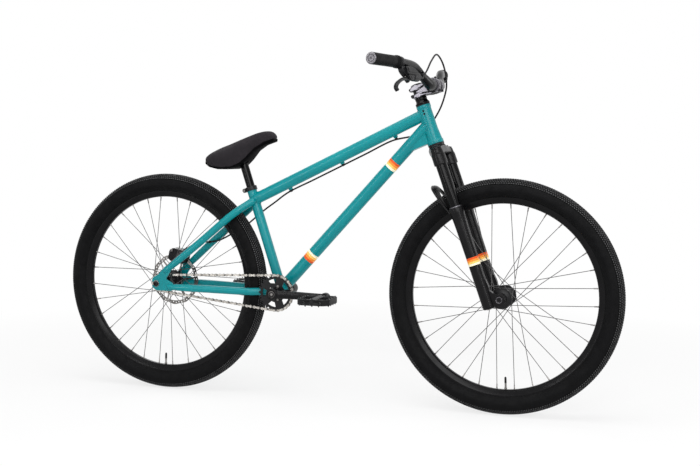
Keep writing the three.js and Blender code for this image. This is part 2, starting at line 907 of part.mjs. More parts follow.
function makeCrown() {
  const bridgeFoot = crownTop - crownBridgeHeight;
  const bridge = plateXY(
    [
      [-crownBossRadius, 0],
      [stanchionOffset - crownBridgeHalfWidth, -stanchionSpread],
      [stanchionOffset + crownBridgeHalfWidth, -stanchionSpread],
      [crownBossRadius, 0],
      [stanchionOffset + crownBridgeHalfWidth, stanchionSpread],
      [stanchionOffset - crownBridgeHalfWidth, stanchionSpread],
    ],
    bridgeFoot,
    crownTop - seatGap,
  );
  const axisFoot = new THREE.Vector3(0, 0, bridgeFoot);
  const boss = bar(axisFoot, new THREE.Vector3(0, 0, crownTop), crownBossRadius, tubeSides);
  const steererTop = new THREE.Vector3(0, 0, stemTop - seatGap);
  const steerer = bar(axisFoot, steererTop, steererRadius, tubeSides);
  const whole = joined(bridge, boss, steerer, crownSocket(-1), crownSocket(1));
  const boreTop = crownTop - socketDomeHeight + seatGap;
  const bores = [-1, 1].map((side) =>
    stanchionBar(side, stanchionRadius + seatGap, socketFoot - cutOverrun, boreTop, tubeSides),
  );
  return part("fork_crown", cut(whole, ...bores), blackPaint);
}

function makeStanchion(name, side) {
  const top = crownTop - socketDomeHeight;
  return part(name, stanchionBar(side, stanchionRadius, top - stanchionLength, top, tubeSides), blackAnodised);
}

// The axle lug's outline: down the leg's front, forward to the axle boss and back under it.
function lugOutline() {
  const axle = [forkOffset, -axleToHeadTube];
  const legFront = stanchionOffset + legEndRadius - seatGap;
  return [
    [stanchionOffset, legFoot],
    [stanchionOffset, axle[1] + lugNeckRise],
    [legFront, axle[1] + lugNeckRise],
    [lugBendOffset + seatGap, axle[1] + lugBendRise],
    ...arc(axle, lugRadius, 110, -120, 12),
    [stanchionOffset + legEndRadius / 2, legFoot],
  ];
}

// The brace is behind the legs: shares of its reach back, its half span and its rise over them.
const archShares = [
  [-0.13, 0.97, -0.25],
  [-0.47, 0.87, 0.18],
  [-0.81, 0.62, 0.68],
  [-0.98, 0.31, 0.93],
  [-1, 0, 1],
  [-0.98, -0.31, 0.93],
  [-0.81, -0.62, 0.68],
  [-0.47, -0.87, 0.18],
  [-0.13, -0.97, -0.25],
];

function makeLowers() {
  const arch = tubeAlong(
    smoothPath(
      archShares.map(([back, side, up]) => [back * archReach, side * stanchionSpread, legTop + up * archRise]),
    ),
    archRadius,
    smallSides,
    archSteps,
  );
  const legs = [-1, 1].map((side) => stanchionBar(side, legEndRadius, legFoot, legTop, tubeSides, legTopRadius));
  const lugInner = frontHubWidth / 2 + seatGap;
  const lugs = [-1, 1].map((side) =>
    plateXZ(lugOutline(), side * lugInner, side * (lugInner + lugThickness)),
  );
  const bores = [-1, 1].map((side) =>
    stanchionBar(side, stanchionRadius + seatGap, legTop - legBoreDepth, socketFoot, tubeSides),
  );
  const lugOuter = lugInner + lugThickness;
  const axleLeft = new THREE.Vector3(forkOffset, lugOuter, -axleToHeadTube);
  const axleRight = new THREE.Vector3(forkOffset, -lugOuter, -axleToHeadTube);
  const axleBore = cutterBar(axleRight, axleLeft, frontAxleRadius + seatGap, hubSides);
  const whole = joined(...legs, arch, ...lugs);
  return part("fork_lowers", cut(whole, ...bores, axleBore), blackPaint);
}

function makeFrontAxle() {
  const half = frontHubWidth / 2 + seatGap + lugThickness;
  const headFace = half + seatGap;
  const geometry = turnedY(
    [
      [0, -half + frontAxleSocketDepth],
      [frontAxleSocketRadius, -half + frontAxleSocketDepth],
      [frontAxleSocketRadius, -half],
      [frontAxleRadius, -half],
      [frontAxleRadius, headFace],
      [frontAxleHeadRadius, headFace],
      [frontAxleHeadRadius, headFace + frontAxleHeadLength],
      [0, headFace + frontAxleHeadLength],
    ],
    hubSides,
  );
  const mesh = part("front_axle", geometry, blackAnodised);
  mesh.position.set(forkOffset, 0, -axleToHeadTube);
  return mesh;
}

function stemBarBore() {
  const right = new THREE.Vector3(stemReach, -stemBarHalfWidth, barMiddle);
  const left = new THREE.Vector3(stemReach, stemBarHalfWidth, barMiddle);
  return cutterBar(right, left, boreFor(barClampRadius, roundSides), roundSides);
}

// One stem body: a collar on the steerer, a bridge and the rear half of the bar clamp.
function makeStemBody() {
  const collar = turnedZ(
    [
      [0, stemFoot],
      [stemClampRadius, stemFoot],
      [stemClampRadius, stemTop],
      [0, stemTop],
    ],
    roundSides,
  );
  const clampOuter = barClampRadius + barClampWall;
  const bridge = plateXY(
    [
      [0, -stemClampRadius],
      [stemReach - barClampRadius, -stemBarHalfWidth],
      [stemReach - faceplateSplit, -stemBarHalfWidth],
      [stemReach - faceplateSplit, stemBarHalfWidth],
      [stemReach - barClampRadius, stemBarHalfWidth],
      [0, stemClampRadius],
    ],
    barMiddle - clampOuter,
    barMiddle + clampOuter,
  );
  const trim = plateXZ(
    [
      [-stemClampRadius, stemFoot],
      [stemReach - clampOuter, stemFoot],
      [stemReach - barClampRadius / 2, barMiddle - clampOuter],
      [stemReach, barMiddle - clampOuter],
      [stemReach, barMiddle + clampOuter],
      [stemReach - barClampRadius / 2, barMiddle + clampOuter],
      [stemReach - clampOuter, stemTop],
      [-stemClampRadius, stemTop],
    ],
    -stemBarHalfWidth,
    stemBarHalfWidth,
  );
  const lugs = [-1, 1].map((side) => {
    const height = stemMiddle + side * pinchBoltRise;
    const left = new THREE.Vector3(-pinchBoltOffset, pinchBoltHalfLength, height);
    const right = new THREE.Vector3(-pinchBoltOffset, -pinchBoltHalfLength, height);
    return bar(right, left, pinchBoltRadius, boltSides);
  });
  const steererCutter = cutterBar(
    new THREE.Vector3(0, 0, stemFoot),
    new THREE.Vector3(0, 0, stemTop),
    steererRadius + seatGap,
    tubeSides,
  );
  const whole = joined(collar, common(bridge, trim), ...lugs);
  return part("stem_body", cut(whole, steererCutter, stemBarBore()), greyAnodised);
}

function makeFaceplate() {
  const outer = barClampRadius + faceplateThickness;
  const halfHeight = barClampRadius + barClampWall;
  const splitX = stemReach + faceplateSplit - seatGap;
  const plate = plateXZ(
    [
      [splitX, barMiddle - halfHeight],
      ...arc([stemReach, barMiddle], outer + seatGap, -60, 60, 8),
      [splitX, barMiddle + halfHeight],
    ],
    -stemBarHalfWidth,
    stemBarHalfWidth,
  );
  const bolts = [];
  for (const side of [-1, 1]) {
    for (const up of [-1, 1]) {
      const height = barMiddle + up * (barClampRadius + barBoltRadius);
      const back = new THREE.Vector3(splitX + seatGap, side * barBoltSpread, height);
      const front = new THREE.Vector3(stemReach + barClampRadius, side * barBoltSpread, height);
      bolts.push(bar(back, front, barBoltRadius, smallSides));
    }
  }
  return part("stem_faceplate", cut(joined(plate, ...bolts), stemBarBore()), greyAnodised);
}

function makeTopCap() {
  const foot = stemTop + seatGap;
  const geometry = turnedZ(
    [
      [0, foot],
      [topCapRadius, foot],
      [topCapRadius, foot + topCapHeight / 2],
      [topCapRadius - topCapChamfer, foot + topCapHeight],
      [0, foot + topCapHeight],
    ],
    tubeSides,
  );
  return part("stem_top_cap", geometry, blackAnodised);
}

// Half of the bar's run, as shares of its reach, of the grip's start and of the rise over the clamp.
const barShares = [
  [0.99, 0.26, 0.06],
  [0.95, 0.37, 0.3],
  [0.92, 0.49, 0.65],
  [0.9, 0.59, 0.83],
  [0.85, 0.7, 0.9],
  [0.73, 0.86, 0.96],
];
const gripSpreadShares = [0, 0.5, 1];

function barPoint(spread) {
  const share = (spread - barGripSpread) / (barEndSpread - barGripSpread);
  const offset = gripStartOffset + (gripEndOffset - gripStartOffset) * share;
  const rise = gripStartRise + (gripEndRise - gripStartRise) * share;
  return new THREE.Vector3(offset, spread, barMiddle + rise);
}

function handlebarPath() {
  const clamp = [0.5, 1].map((share) => [stemReach, share * barClampStraight, barMiddle]);
  const bend = barShares.map(([forward, out, up]) => [
    forward * stemReach,
    out * barGripSpread,
    barMiddle + up * gripStartRise,
  ]);
  const straight = gripSpreadShares.map((share) =>
    barPoint(barGripSpread + share * (barEndSpread - barGripSpread)).toArray(),
  );
  const left = [...clamp, ...bend, ...straight];
  const right = left.map(([x, y, z]) => [x, -y, z]).reverse();
  return smoothPath([...right, ...left]);
}

// Rings along the bar, thick in the clamp and tapering to the grips' size.
function makeHandlebar() {
  const curve = handlebarPath();
  const rings = [];
  for (let i = 0; i <= barSteps; i += 1) {
    const place = curve.getPointAt(i / barSteps);
    const along = curve.getTangentAt(i / barSteps);
    const across = along.clone().cross(new THREE.Vector3(0, 0, 1)).normalize();
    const up = across.clone().cross(along);
    const share = THREE.MathUtils.smoothstep(Math.abs(place.y), barClampStraight, barTaperEnd);
    const radius = barClampRadius + (barRadius - barClampRadius) * share;
    const ring = circle([0, 0], radius, barSides).map(([right, top]) =>
      place.clone().addScaledVector(across, right).addScaledVector(up, top),
    );
    rings.push(ring);
  }
  return part("handlebar", loft(rings), blackPaint);
}

// Lays a piece that was made along Y on one half of the bar, from the grip's start outward.
function alongBar(side, geometry) {
  const start = barPoint(barGripSpread);
  const direction = barPoint(barEndSpread).sub(start).normalize();
  geometry.applyQuaternion(new THREE.Quaternion().setFromUnitVectors(new THREE.Vector3(0, 1, 0), direction));
  geometry.translate(start.x, start.y, start.z);
  return geometry.scale(1, side, 1);
}

function makeGrip(name, side) {
  const length = barPoint(barGripSpread).distanceTo(barPoint(barEndSpread));
  const capFoot = length + seatGap;
  const outline = [
    [gripBoreRadius, 0],
    [gripRingRadius, 0],
    [gripRingRadius, gripRingLength],
    [gripRadius, gripRingLength],
    [gripRadius, capFoot],
    [gripCapRadius, capFoot + gripCapLength],
    [0, capFoot + gripCapLength],
    [0, capFoot],
    [gripBoreRadius, capFoot],
    [gripBoreRadius, 0],
  ];
  return part(name, alongBar(side, turnedY(outline, tubeSides)), blackRubber);
}

// Brake lever

function leverFrame() {
  const origin = barPoint(leverClampSpread);
  const inboard = barPoint(barGripSpread).sub(barPoint(barEndSpread)).normalize();
  origin.y = -origin.y;
  inboard.y = -inboard.y;
  const back = new THREE.Vector3(0, 0, 1).cross(inboard).normalize();
  const up = inboard.clone().cross(back);
  return new THREE.Matrix4().makeBasis(inboard, back, up).setPosition(origin);
}

function makeMasterBody() {
  const axisPoint = (reach) => new THREE.Vector3(reach, 0, -masterDrop);
  const body = bar(axisPoint(masterStart), axisPoint(masterEnd), masterRadius, boltSides);
  const reservoir = bar(axisPoint(reservoirStart), axisPoint(reservoirEnd), reservoirRadius, boltSides);
  const spigotTip = axisPoint(masterEnd + hoseSpigotLength);
  const spigot = bar(axisPoint(reservoirEnd), spigotTip, hoseSpigotRadius, smallSides);
  const cheeks = block(
    [leverPivotInboard - cheekReach, -masterRadius + seatGap, -cheekDrop],
    [leverPivotInboard + cheekReach, masterRadius - seatGap, -masterDrop],
  );
  return [body, reservoir, spigot, cheeks];
}

function makeBrakeMaster() {
  const ring = bar(
    new THREE.Vector3(-leverClampHalfWidth, 0, 0),
    new THREE.Vector3(leverClampHalfWidth, 0, 0),
    leverClampRadius,
    roundSides,
  );
  const arm = block(
    [-leverArmHalfWidth, -leverArmHalfThickness, -masterDrop],
    [masterStart + leverArmHalfWidth, leverArmHalfThickness, -gripBoreRadius],
  );
  const bore = cutterBar(
    new THREE.Vector3(-leverArmHalfWidth, 0, 0),
    new THREE.Vector3(masterStart + leverArmHalfWidth, 0, 0),
    gripBoreRadius,
    roundSides,
  );
  const slotHalf = bladeHalfThickness + seatGap * 2;
  const slot = block([-leverSlotInboard, -slotHalf, -masterDrop * 2], [leverSlotInboard, slotHalf, -leverSlotTop]);
  const pin = bar(
    new THREE.Vector3(leverPivotInboard, -masterRadius + seatGap, -leverPivotDrop),
    new THREE.Vector3(leverPivotInboard, masterRadius - seatGap, -leverPivotDrop),
    leverPinRadius,
    fineSides,
  );
  const whole = joined(cut(joined(ring, arm, ...makeMasterBody()), bore, slot), pin);
  return part("brake_master", whole.applyMatrix4(leverFrame()), blackAnodised);
}

// The blade's middle line and half width, as shares of its reach, its drop and its root radius.
const bladeShares = [
  [-0.04, 0, 0.8],
  [0.12, 0.02, 0.78],
  [0.31, 0.06, 0.74],
  [0.46, 0.12, 0.7],
  [0.6, 0.23, 0.66],
  [0.76, 0.38, 0.62],
  [0.9, 0.56, 0.6],
  [0.99, 0.8, 0.6],
  [0.95, 1, 0.4],
];

function makeBlade() {
  const middle = bladeShares.map(([out, down, half]) => ({
    place: new THREE.Vector2(leverPivotInboard - out * bladeReach, -leverPivotDrop - down * bladeDrop),
    half: half * bladeRootRadius,
  }));
  const edge = (side) =>
    middle.map(({ place, half }, i) => {
      const before = middle[Math.max(i - 1, 0)].place;
      const after = middle[Math.min(i + 1, middle.length - 1)].place;
      const along = after.clone().sub(before).normalize();
      return [place.x - along.y * half * side, place.y + along.x * half * side];
    });
  const ribbon = plateXZ([...edge(1), ...edge(-1).reverse()], -bladeHalfThickness, bladeHalfThickness);
  const pivot = [leverPivotInboard, -leverPivotDrop];
  const root = plateXZ(circle(pivot, bladeRootRadius, roundSides), -bladeHalfThickness, bladeHalfThickness);
  const hole = plateXZ(circle(pivot, leverPinRadius + seatGap, fineSides), -masterRadius, masterRadius);
  const blade = cut(joined(root, ribbon), hole);
  return part("brake_lever_blade", blade.applyMatrix4(leverFrame()), blackAnodised);
}

// Wheels

function makeTyre(name) {
  const centre = tyreRadius - tyreHalfWidth;
  const inner = tyreHalfWidth - tyreWall;
  const outside = arc([centre, 0], tyreHalfWidth, 130, -130, 8);
  const inside = arc([centre, 0], inner, -110, 110, 2);
  const flangeTop = rimFlangeRadius + seatGap;
  const toe = rimFlangeRadius - rimHookDepth + seatGap;
  const beadOuter = rimHalfWidth - rimWall - seatGap;
  const bead = (side) => [
    [flangeTop, side * beadOuter],
    [toe, side * beadOuter],
    [toe, side * (beadOuter - tyreWall)],
    [flangeTop + tyreWall - seatGap, side * beadOuter],
  ];
  const outline = [...outside, ...bead(-1), ...inside, ...bead(1).reverse()];
  return part(name, turnedY([...outline, outline[0]], wheelSides), blackRubber);
}

function makeRim(name) {
  const floor = rimFlangeRadius - rimHookDepth;
  const half = (side) => [
    [floor, side * (rimHalfWidth - rimWall)],
    [rimFlangeRadius, side * (rimHalfWidth - rimWall)],
    [rimFlangeRadius, side * rimHalfWidth],
    [floor - rimWall, side * rimHalfWidth],
    [rimFlangeRadius - rimDepth, side * rimFloorHalfWidth],
  ];
  const outline = [...half(1), ...half(-1).reverse()];
  const ring = turnedY([...outline, outline[0]], wheelSides);
  const valveRoot = new THREE.Vector3(0, 0, -(rimFlangeRadius - rimDepth + valveRadius));
  const valveTip = new THREE.Vector3(0, 0, -(rimFlangeRadius - rimDepth - valveLength));
  return part(name, joined(ring, bar(valveRoot, valveTip, valveRadius, smallSides)), blackAnodised);
}

// One side's spokes: each leaves the flange nearly tangent, alternate ones leaning the other way.
// They are joined flat and then dished from the flange in to the rim.
function makeSpokes(name, side, hubSpread) {
  const end = (rimFlangeRadius - rimDepth) * Math.cos(Math.PI / wheelSides) - seatGap * 2;
  const pitch = fullTurn / spokesPerSide;
  const lean = pitch * spokeCrosses;
  const phase = (side < 0 ? 1 : 3) * (pitch / 4);
  const rods = [];
  for (let i = 0; i < spokesPerSide; i += 1) {
    const hubAngle = i * pitch + phase;
    const [from] = arc([0, 0], spokeStart, hubAngle, hubAngle, 1);
    const [to] = arc([0, 0], end, hubAngle + (i % 2 === 0 ? lean : -lean), hubAngle, 1);
    rods.push(flatRod(from, to));
  }
  const spokes = joined(...rods);
  const place = spokes.attributes.position;
  for (let i = 0; i < place.count; i += 1) {
    const share = spokeShare(Math.hypot(place.getX(i), place.getZ(i)), end, lean * toRadians);
    const spread = hubSpread + (rimSpokeSpread - hubSpread) * share;
    place.setY(i, place.getY(i) + side * spread);
  }
  return part(name, spokes, bareSteel);
}

function flatRod(from, to) {
  const along = new THREE.Vector2(to[0] - from[0], to[1] - from[1]).setLength(spokeRadius);
  const outline = [
    [from[0] - along.y, from[1] + along.x],
    [to[0] - along.y, to[1] + along.x],
    [to[0] + along.y, to[1] - along.x],
    [from[0] + along.y, from[1] - along.x],
  ];
  return plateXZ(outline, -spokeRadius, spokeRadius);
}

// How far along a leaning spoke a given radius lies.
function spokeShare(radius, end, lean) {
  const run = new THREE.Vector2(end * Math.cos(lean) - spokeStart, end * Math.sin(lean));
  const across = spokeStart * run.x;
  const beyond = radius ** 2 - spokeStart ** 2;
  const root = Math.sqrt(Math.max(across ** 2 + run.lengthSq() * beyond, 0));
  return (root - across) / run.lengthSq();
}

function hubFlange(place) {
  const half = flangeThickness / 2;
  return [
    [hubBarrelRadius, place - half * 2],
    [flangeRadius, place - half],
    [flangeRadius, place + half],
    [hubBarrelRadius, place + half * 2],
  ];
}

function makeFrontHub() {
  const bore = frontAxleRadius + seatGap * 2;
  const end = frontHubWidth / 2;
  const outline = [
    [bore, -end],
    [hubEndRadius, -end],
    [hubEndRadius, -end + hubEndLength],
    [hubCapRadius, -end + hubEndLength],
    ...hubFlange(-frontFlangeSpread),
    ...hubFlange(frontFlangeSpread),
    [hubCapRadius, end - hubEndLength],
    [hubEndRadius, end - hubEndLength],
    [hubEndRadius, end],
    [bore, end],
    [bore, -end],
  ];
  return part("front_hub", turnedY(outline, hubSides), blackAnodised);
}

function makeRearHub() {
  const bore = rearAxleRadius + seatGap * 2;
  const discSeat = discSpread - discThickness / 2 - seatGap;
  const outline = [
    [bore, -rearHubRightEnd],
    [hubBarrelRadius, -rearHubRightEnd],
    ...hubFlange(-flangeSpread),
    ...hubFlange(flangeSpread),
    [discMountRadius, flangeSpread + flangeThickness],
    [discMountRadius, discSeat],
    [discBoreRadius - seatGap, discSeat],
    [discBoreRadius - seatGap, discSeat + hubEndLength],
    [hubEndRadius, rearHubLeftEnd],
    [bore, rearHubLeftEnd],
    [bore, -rearHubRightEnd],
  ];
  return part("rear_hub", turnedY(outline, hubSides), blackAnodised);
}

function makeDisc() {
  const rim = [];
  const steps = discWaves * 3;
  for (let i = 0; i < steps; i += 1) {
    const angle = (2 * Math.PI * i) / steps;
    const radius = discRadius + discWave * (0.5 * Math.cos(discWaves * angle) - 0.5);
    rim.push([radius * Math.cos(angle), radius * Math.sin(angle)]);
  }
  const windows = [];
  const pitch = fullTurn / discArms;
  for (let i = 0; i < discArms; i += 1) {
    const middle = i * pitch;
    const outerFrom = middle + discArmHalfAngle / 2;
    const outerTo = middle + pitch - discArmHalfAngle / 2;
    const innerFrom = middle + discArmHalfAngle * 1.6;
    const innerTo = middle + pitch - discArmHalfAngle * 1.6;
    windows.push([
      ...arc([0, 0], discRadius - discBand, outerFrom, outerTo, 4),
      ...arc([0, 0], discHubRadius, innerTo, innerFrom, 2),
    ]);
  }
  const bore = circle([0, 0], discBoreRadius / Math.cos(Math.PI / hubSides), hubSides);
  const half = discThickness / 2;
  const geometry = plateXZ(rim, discSpread - half, discSpread + half, [bore, ...windows]);
  return part("brake_rotor", geometry, bareSteel);
}

function makeFrontWheel() {
  const wheel = group(
    makeTyre("front_tyre"),
    makeRim("front_rim"),
    makeFrontHub(),
    makeSpokes("front_spokes_right", -1, frontFlangeSpread),
    makeSpokes("front_spokes_left", 1, frontFlangeSpread),
  );
  wheel.position.copy(frontAxle);
  wheel.rotation.y = frontWheelTurn * toRadians;
  return wheel;
}

function makeRearWheel() {
  const wheel = group(
    makeTyre("rear_tyre"),
    makeRim("rear_rim"),
    makeRearHub(),
    makeSpokes("rear_spokes_right", -1, flangeSpread),
    makeSpokes("rear_spokes_left", 1, flangeSpread),
    makeDisc(),
  );
  wheel.position.copy(rearAxle);
  wheel.rotation.y = rearWheelTurn * toRadians;
  return wheel;
}

// Rear axle and brake

function makeRearAxle() {
  const end = dropoutInner - seatGap;
  const socket = end - axleSocketDepth;
  const outline = [
    [0, -socket],
    [axleThreadRadius + seatGap, -socket],
    [axleThreadRadius + seatGap, -end],
    [axleCollarRadius, -end],
    [axleCollarRadius, -end + axleCollarLength],
    [rearAxleRadius, -end + axleCollarLength],
    [rearAxleRadius, end - axleCollarLength],
    [axleCollarRadius, end - axleCollarLength],
    [axleCollarRadius, end],
    [axleThreadRadius + seatGap, end],
    [axleThreadRadius + seatGap, socket],
    [0, socket],
  ];
  const geometry = turnedY(outline, hubSides).translate(rearAxle.x, rearAxle.y, rearAxle.z);
  return part("rear_axle", geometry, bareSteel);
}

function makeAxleBolt(name, side) {
  const face = dropoutOuter + seatGap;
  const outline = [
    [0, dropoutInner - axleSocketDepth + axleCollarLength],
    [axleThreadRadius, dropoutInner - axleSocketDepth + axleCollarLength],
    [axleThreadRadius, face],
    [axleHeadRadius, face],
    [axleHeadRadius, face + axleHeadLength - axleHeadChamfer],
    [axleHeadRadius - axleHeadChamfer, face + axleHeadLength],
    [0, face + axleHeadLength],
  ];
  const geometry = turnedY(outline, hubSides).scale(1, side, 1);
  return part(name, geometry.translate(rearAxle.x, rearAxle.y, rearAxle.z), bareSteel);
}

function fromCaliper(along, radius) {
  const angle = caliperAngle * toRadians;
  return [
    rearAxle.x + radius * Math.cos(angle) - along * Math.sin(angle),
    rearAxle.z + radius * Math.sin(angle) + along * Math.cos(angle),
  ];
}

function caliperBox(fromAlong, toAlong, fromRadius, toRadius, fromY, toY, chamfer) {
  const outline = [
    [fromAlong + chamfer, fromRadius],
    [toAlong - chamfer, fromRadius],
    [toAlong, fromRadius + chamfer],
    [toAlong, toRadius - chamfer],
    [toAlong - chamfer, toRadius],
    [fromAlong + chamfer, toRadius],
    [fromAlong, toRadius - chamfer],
    [fromAlong, fromRadius + chamfer],
  ];
  return plateXZ(outline.map(([along, radius]) => fromCaliper(along, radius)), fromY, toY);
}

function makeCaliper() {
  const left = dropoutInner - seatGap;
  const body = caliperBox(
    -caliperHalfLength,
    caliperHalfLength,
    caliperInner,
    caliperOuter,
    caliperRight,
    left,
    caliperChamfer,
  );
  const slot = caliperBox(
    -caliperHalfLength - cutOverrun * 2,
    caliperHalfLength + cutOverrun * 2,
    caliperInner - cutOverrun,
    caliperSlotTop,
    discSpread - caliperSlotHalf,
    discSpread + caliperSlotHalf,
    discThickness / 2,
  );
  const port = bar(
    fromRearAxle(caliperPortReach, hosePortSpread, caliperPortRise),
    fromRearAxle(caliperPortEndReach, hosePortSpread, caliperPortEndRise),
    hoseSpigotRadius,
    boltSides,
  );
  const stay = seatstayTube(1, stayRadius + seatGap * 4);
  return part("rear_caliper", joined(cut(body, slot, stay), port), blackAnodised);
}

function makeBrakeHose() {
  const spigotPoint = (beyond) => {
    const place = new THREE.Vector3(masterEnd + hoseSpigotLength + beyond, 0, -masterDrop);
    return placedAtHeadPoint(place.applyMatrix4(leverFrame())).toArray();
  };
  const portFrom = fromRearAxle(caliperPortReach, hosePortSpread, caliperPortRise);
  const portEnd = fromRearAxle(caliperPortEndReach, hosePortSpread, caliperPortEndRise);
  const out = portEnd.clone().sub(portFrom).normalize();
  const end = portEnd.clone().addScaledVector(out, seatGap);
  const before = portEnd.clone().addScaledVector(out, hoseSpigotLength);
  const route = hoseRoute.map(([x, y, z]) => [rearAxleX + x, y, z]);
  const lead = [spigotPoint(seatGap), spigotPoint(hoseSpigotLength)];
  const curve = smoothPath([...lead, ...route, before.toArray(), end.toArray()]);
  return part("brake_hose", tubeAlong(curve, hoseRadius, hoseSides, hoseSteps), blackRubber);
}

function placedAtHeadPoint(point) {
  return point.applyAxisAngle(new THREE.Vector3(0, 1, 0), steerTilt).add(headFoot);
}

// Chain drive

const ringPitchRadius = chainPitch / (2 * Math.sin(Math.PI / ringTeeth));
const cogPitchRadius = chainPitch / (2 * Math.sin(Math.PI / cogTeeth));

// The chain's pitch line with an offset: round the ring's front, then round the cog's back.
function chainLoop(offset) {
  const across = bracket.clone().sub(rearAxle);
  const lean = Math.atan2(across.z, across.x) / toRadians;
  const wrap = Math.acos((cogPitchRadius - ringPitchRadius) / across.length()) / toRadians;
  const ring = arc([bracket.x, bracket.z], ringPitchRadius + offset, lean - wrap, lean + wrap, ringSteps);
  const cog = arc([rearAxle.x, rearAxle.z], cogPitchRadius + offset, lean + wrap, lean + fullTurn - wrap, cogSteps);
  return [...ring, ...cog];
}

function chainRun(side) {
  const line = chainLoop(0);
  const turn = ringSteps;
  const corner = side > 0 ? [line[turn], line[turn + 1]] : [line[line.length - 1], line[0]];
  return corner.map(([x, z]) => new THREE.Vector3(x, 0, z));
}

function makeChain() {
  const outer = chainLoop(plateHalfHeight);
  const inner = chainLoop(-plateHalfHeight);
  const plates = [-1, 1].map((side) => {
    const near = -chainSpread + side * plateHalfSpacing - plateThickness / 2;
    return plateXZ(outer, near, near + plateThickness, [inner]);
  });
  const rollers = [];
  for (const side of [-1, 1]) {
    const [from, to] = chainRun(side);
    const count = Math.floor(from.distanceTo(to) / (chainPitch * rollerStep));
    for (let i = 1; i < count; i += 1) {
      const place = from.clone().lerp(to, i / count);
      const left = place.clone().setY(-chainSpread + plateHalfSpacing);
      const right = place.clone().setY(-chainSpread - plateHalfSpacing);
      rollers.push(bar(right, left, rollerRadius, smallSides));
    }
  }
  return part("chain", joined(...plates, ...rollers), bareSteel);
}

function toothedOutline(teeth, pitchRadius) {
  const outline = [];
  const root = pitchRadius - toothRootDrop;
  const tip = pitchRadius + toothRise;
  for (let i = 0; i < teeth; i += 1) {
    for (const [share, radius] of [[-toothFlankShare, root], [0, tip], [toothFlankShare, root]]) {
      const angle = (2 * Math.PI * (i + share)) / teeth;
      outline.push([radius * Math.cos(angle), radius * Math.sin(angle)]);
    }
  }
  return outline;
}

function makeChainring() {
  const windows = [];
  for (let i = 0; i < ringWindows; i += 1) {
    const middle = ((i + 0.5) * fullTurn) / ringWindows;
    windows.push([
      ...arc([0, 0], ringWindowOuter, middle - ringWindowHalfAngle, middle + ringWindowHalfAngle, 3),
      ...arc([0, 0], ringWindowInner, middle + ringWindowInnerHalfAngle, middle - ringWindowInnerHalfAngle, 1),
    ]);
  }
  const bore = circle([0, 0], spindleRadius + seatGap * 2, hubSides);
  const half = ringThickness / 2;
  const outline = toothedOutline(ringTeeth, ringPitchRadius);
  const geometry = plateXZ(outline, -chainSpread - half, -chainSpread + half, [bore, ...windows]);
  return part("chainring", geometry, blackAnodised);
}

function makeCog() {
  const half = cogThickness / 2;
  const teeth = plateXZ(toothedOutline(cogTeeth, cogPitchRadius), -chainSpread - half, -chainSpread + half);
  const driver = turnedY(
    [
      [0, -driverRight],
      [driverRadius, -driverRight],
      [driverRadius, -driverLeft],
      [0, -driverLeft],
    ],
    hubSides,
  );
  const bore = cutterBar(
    new THREE.Vector3(0, -driverRight, 0),
    new THREE.Vector3(0, -driverLeft, 0),
    rearAxleRadius + seatGap * 2,
    hubSides,
  );
  const cog = part("rear_cog", cut(joined(teeth, driver), bore), bareSteel);
  cog.position.copy(rearAxle);
  return cog;
}

// Cranks, in a frame at the bottom bracket with the right arm toward +X.

function makeSpindle() {
  const ringLeft = chainSpread - ringThickness / 2 - seatGap;
  const bearingEnd = shellHalfWidth + bearingOverhang + seatGap * 2;
  const end = bossOuter - seatGap * 4;
  const outline = [
    [0, -end],
    [spindleRadius, -end],
    [spindleRadius, -ringLeft],
    [spindleCollarRadius, -ringLeft],
    [spindleCollarRadius, -bearingEnd],
    [spindleRadius, -bearingEnd],
    [spindleRadius, bearingEnd],
    [spindleCollarRadius, bearingEnd],
    [spindleCollarRadius, bossInner - seatGap],
    [spindleRadius, bossInner - seatGap],
    [spindleRadius, end],
    [0, end],
  ];
  return part("crank_spindle", turnedY(outline, hubSides), bareSteel);
}

function makeCrankArm(name, side) {
  const bossLow = new THREE.Vector3(0, side * bossInner, 0);
  const bossHigh = new THREE.Vector3(0, side * bossOuter, 0);
  const boss = bar(bossLow, bossHigh, bossRadius, hubSides);
  const tip = new THREE.Vector3(-side * crankLength, side * armSpread, 0);
  const root = new THREE.Vector3(0, side * (bossOuter - armRootRadius), 0);
  const arm = bar(root, tip, armRootRadius, fineSides, armEndRadius);
  const eyeLow = new THREE.Vector3(tip.x, side * eyeInner, 0);
  const eyeHigh = new THREE.Vector3(tip.x, side * eyeOuter, 0);
  const eye = bar(eyeLow, eyeHigh, eyeRadius, fineSides);
  const spindleBore = cutterBar(bossLow, bossHigh, spindleRadius + seatGap, hubSides, armRootRadius);
  const axleBore = cutterBar(eyeLow, eyeHigh, pedalAxleRadius + seatGap, fineSides);
  return part(name, cut(joined(boss, arm, eye), spindleBore, axleBore), blackPaint);
}

function makePedalAxle(name, side) {
  const from = new THREE.Vector3(-side * crankLength, side * (eyeInner + seatGap), 0);
  const to = new THREE.Vector3(-side * crankLength, side * (pedalInner + pedalWidth - pedalAxleEndWall * 2), 0);
  return part(name, bar(from, to, pedalAxleRadius, fineSides), bareSteel);
}

function makeCranks() {
  const cranks = group(
    makeSpindle(),
    makeCrankArm("crank_arm_right", -1),
    makeCrankArm("crank_arm_left", 1),
    makeChainring(),
    makePedalAxle("pedal_axle_right", -1),
    makePedalAxle("pedal_axle_left", 1),
  );
  cranks.position.copy(bracket);
  cranks.rotation.y = crankRestAngle * toRadians;
  return cranks;
}

// Pedals

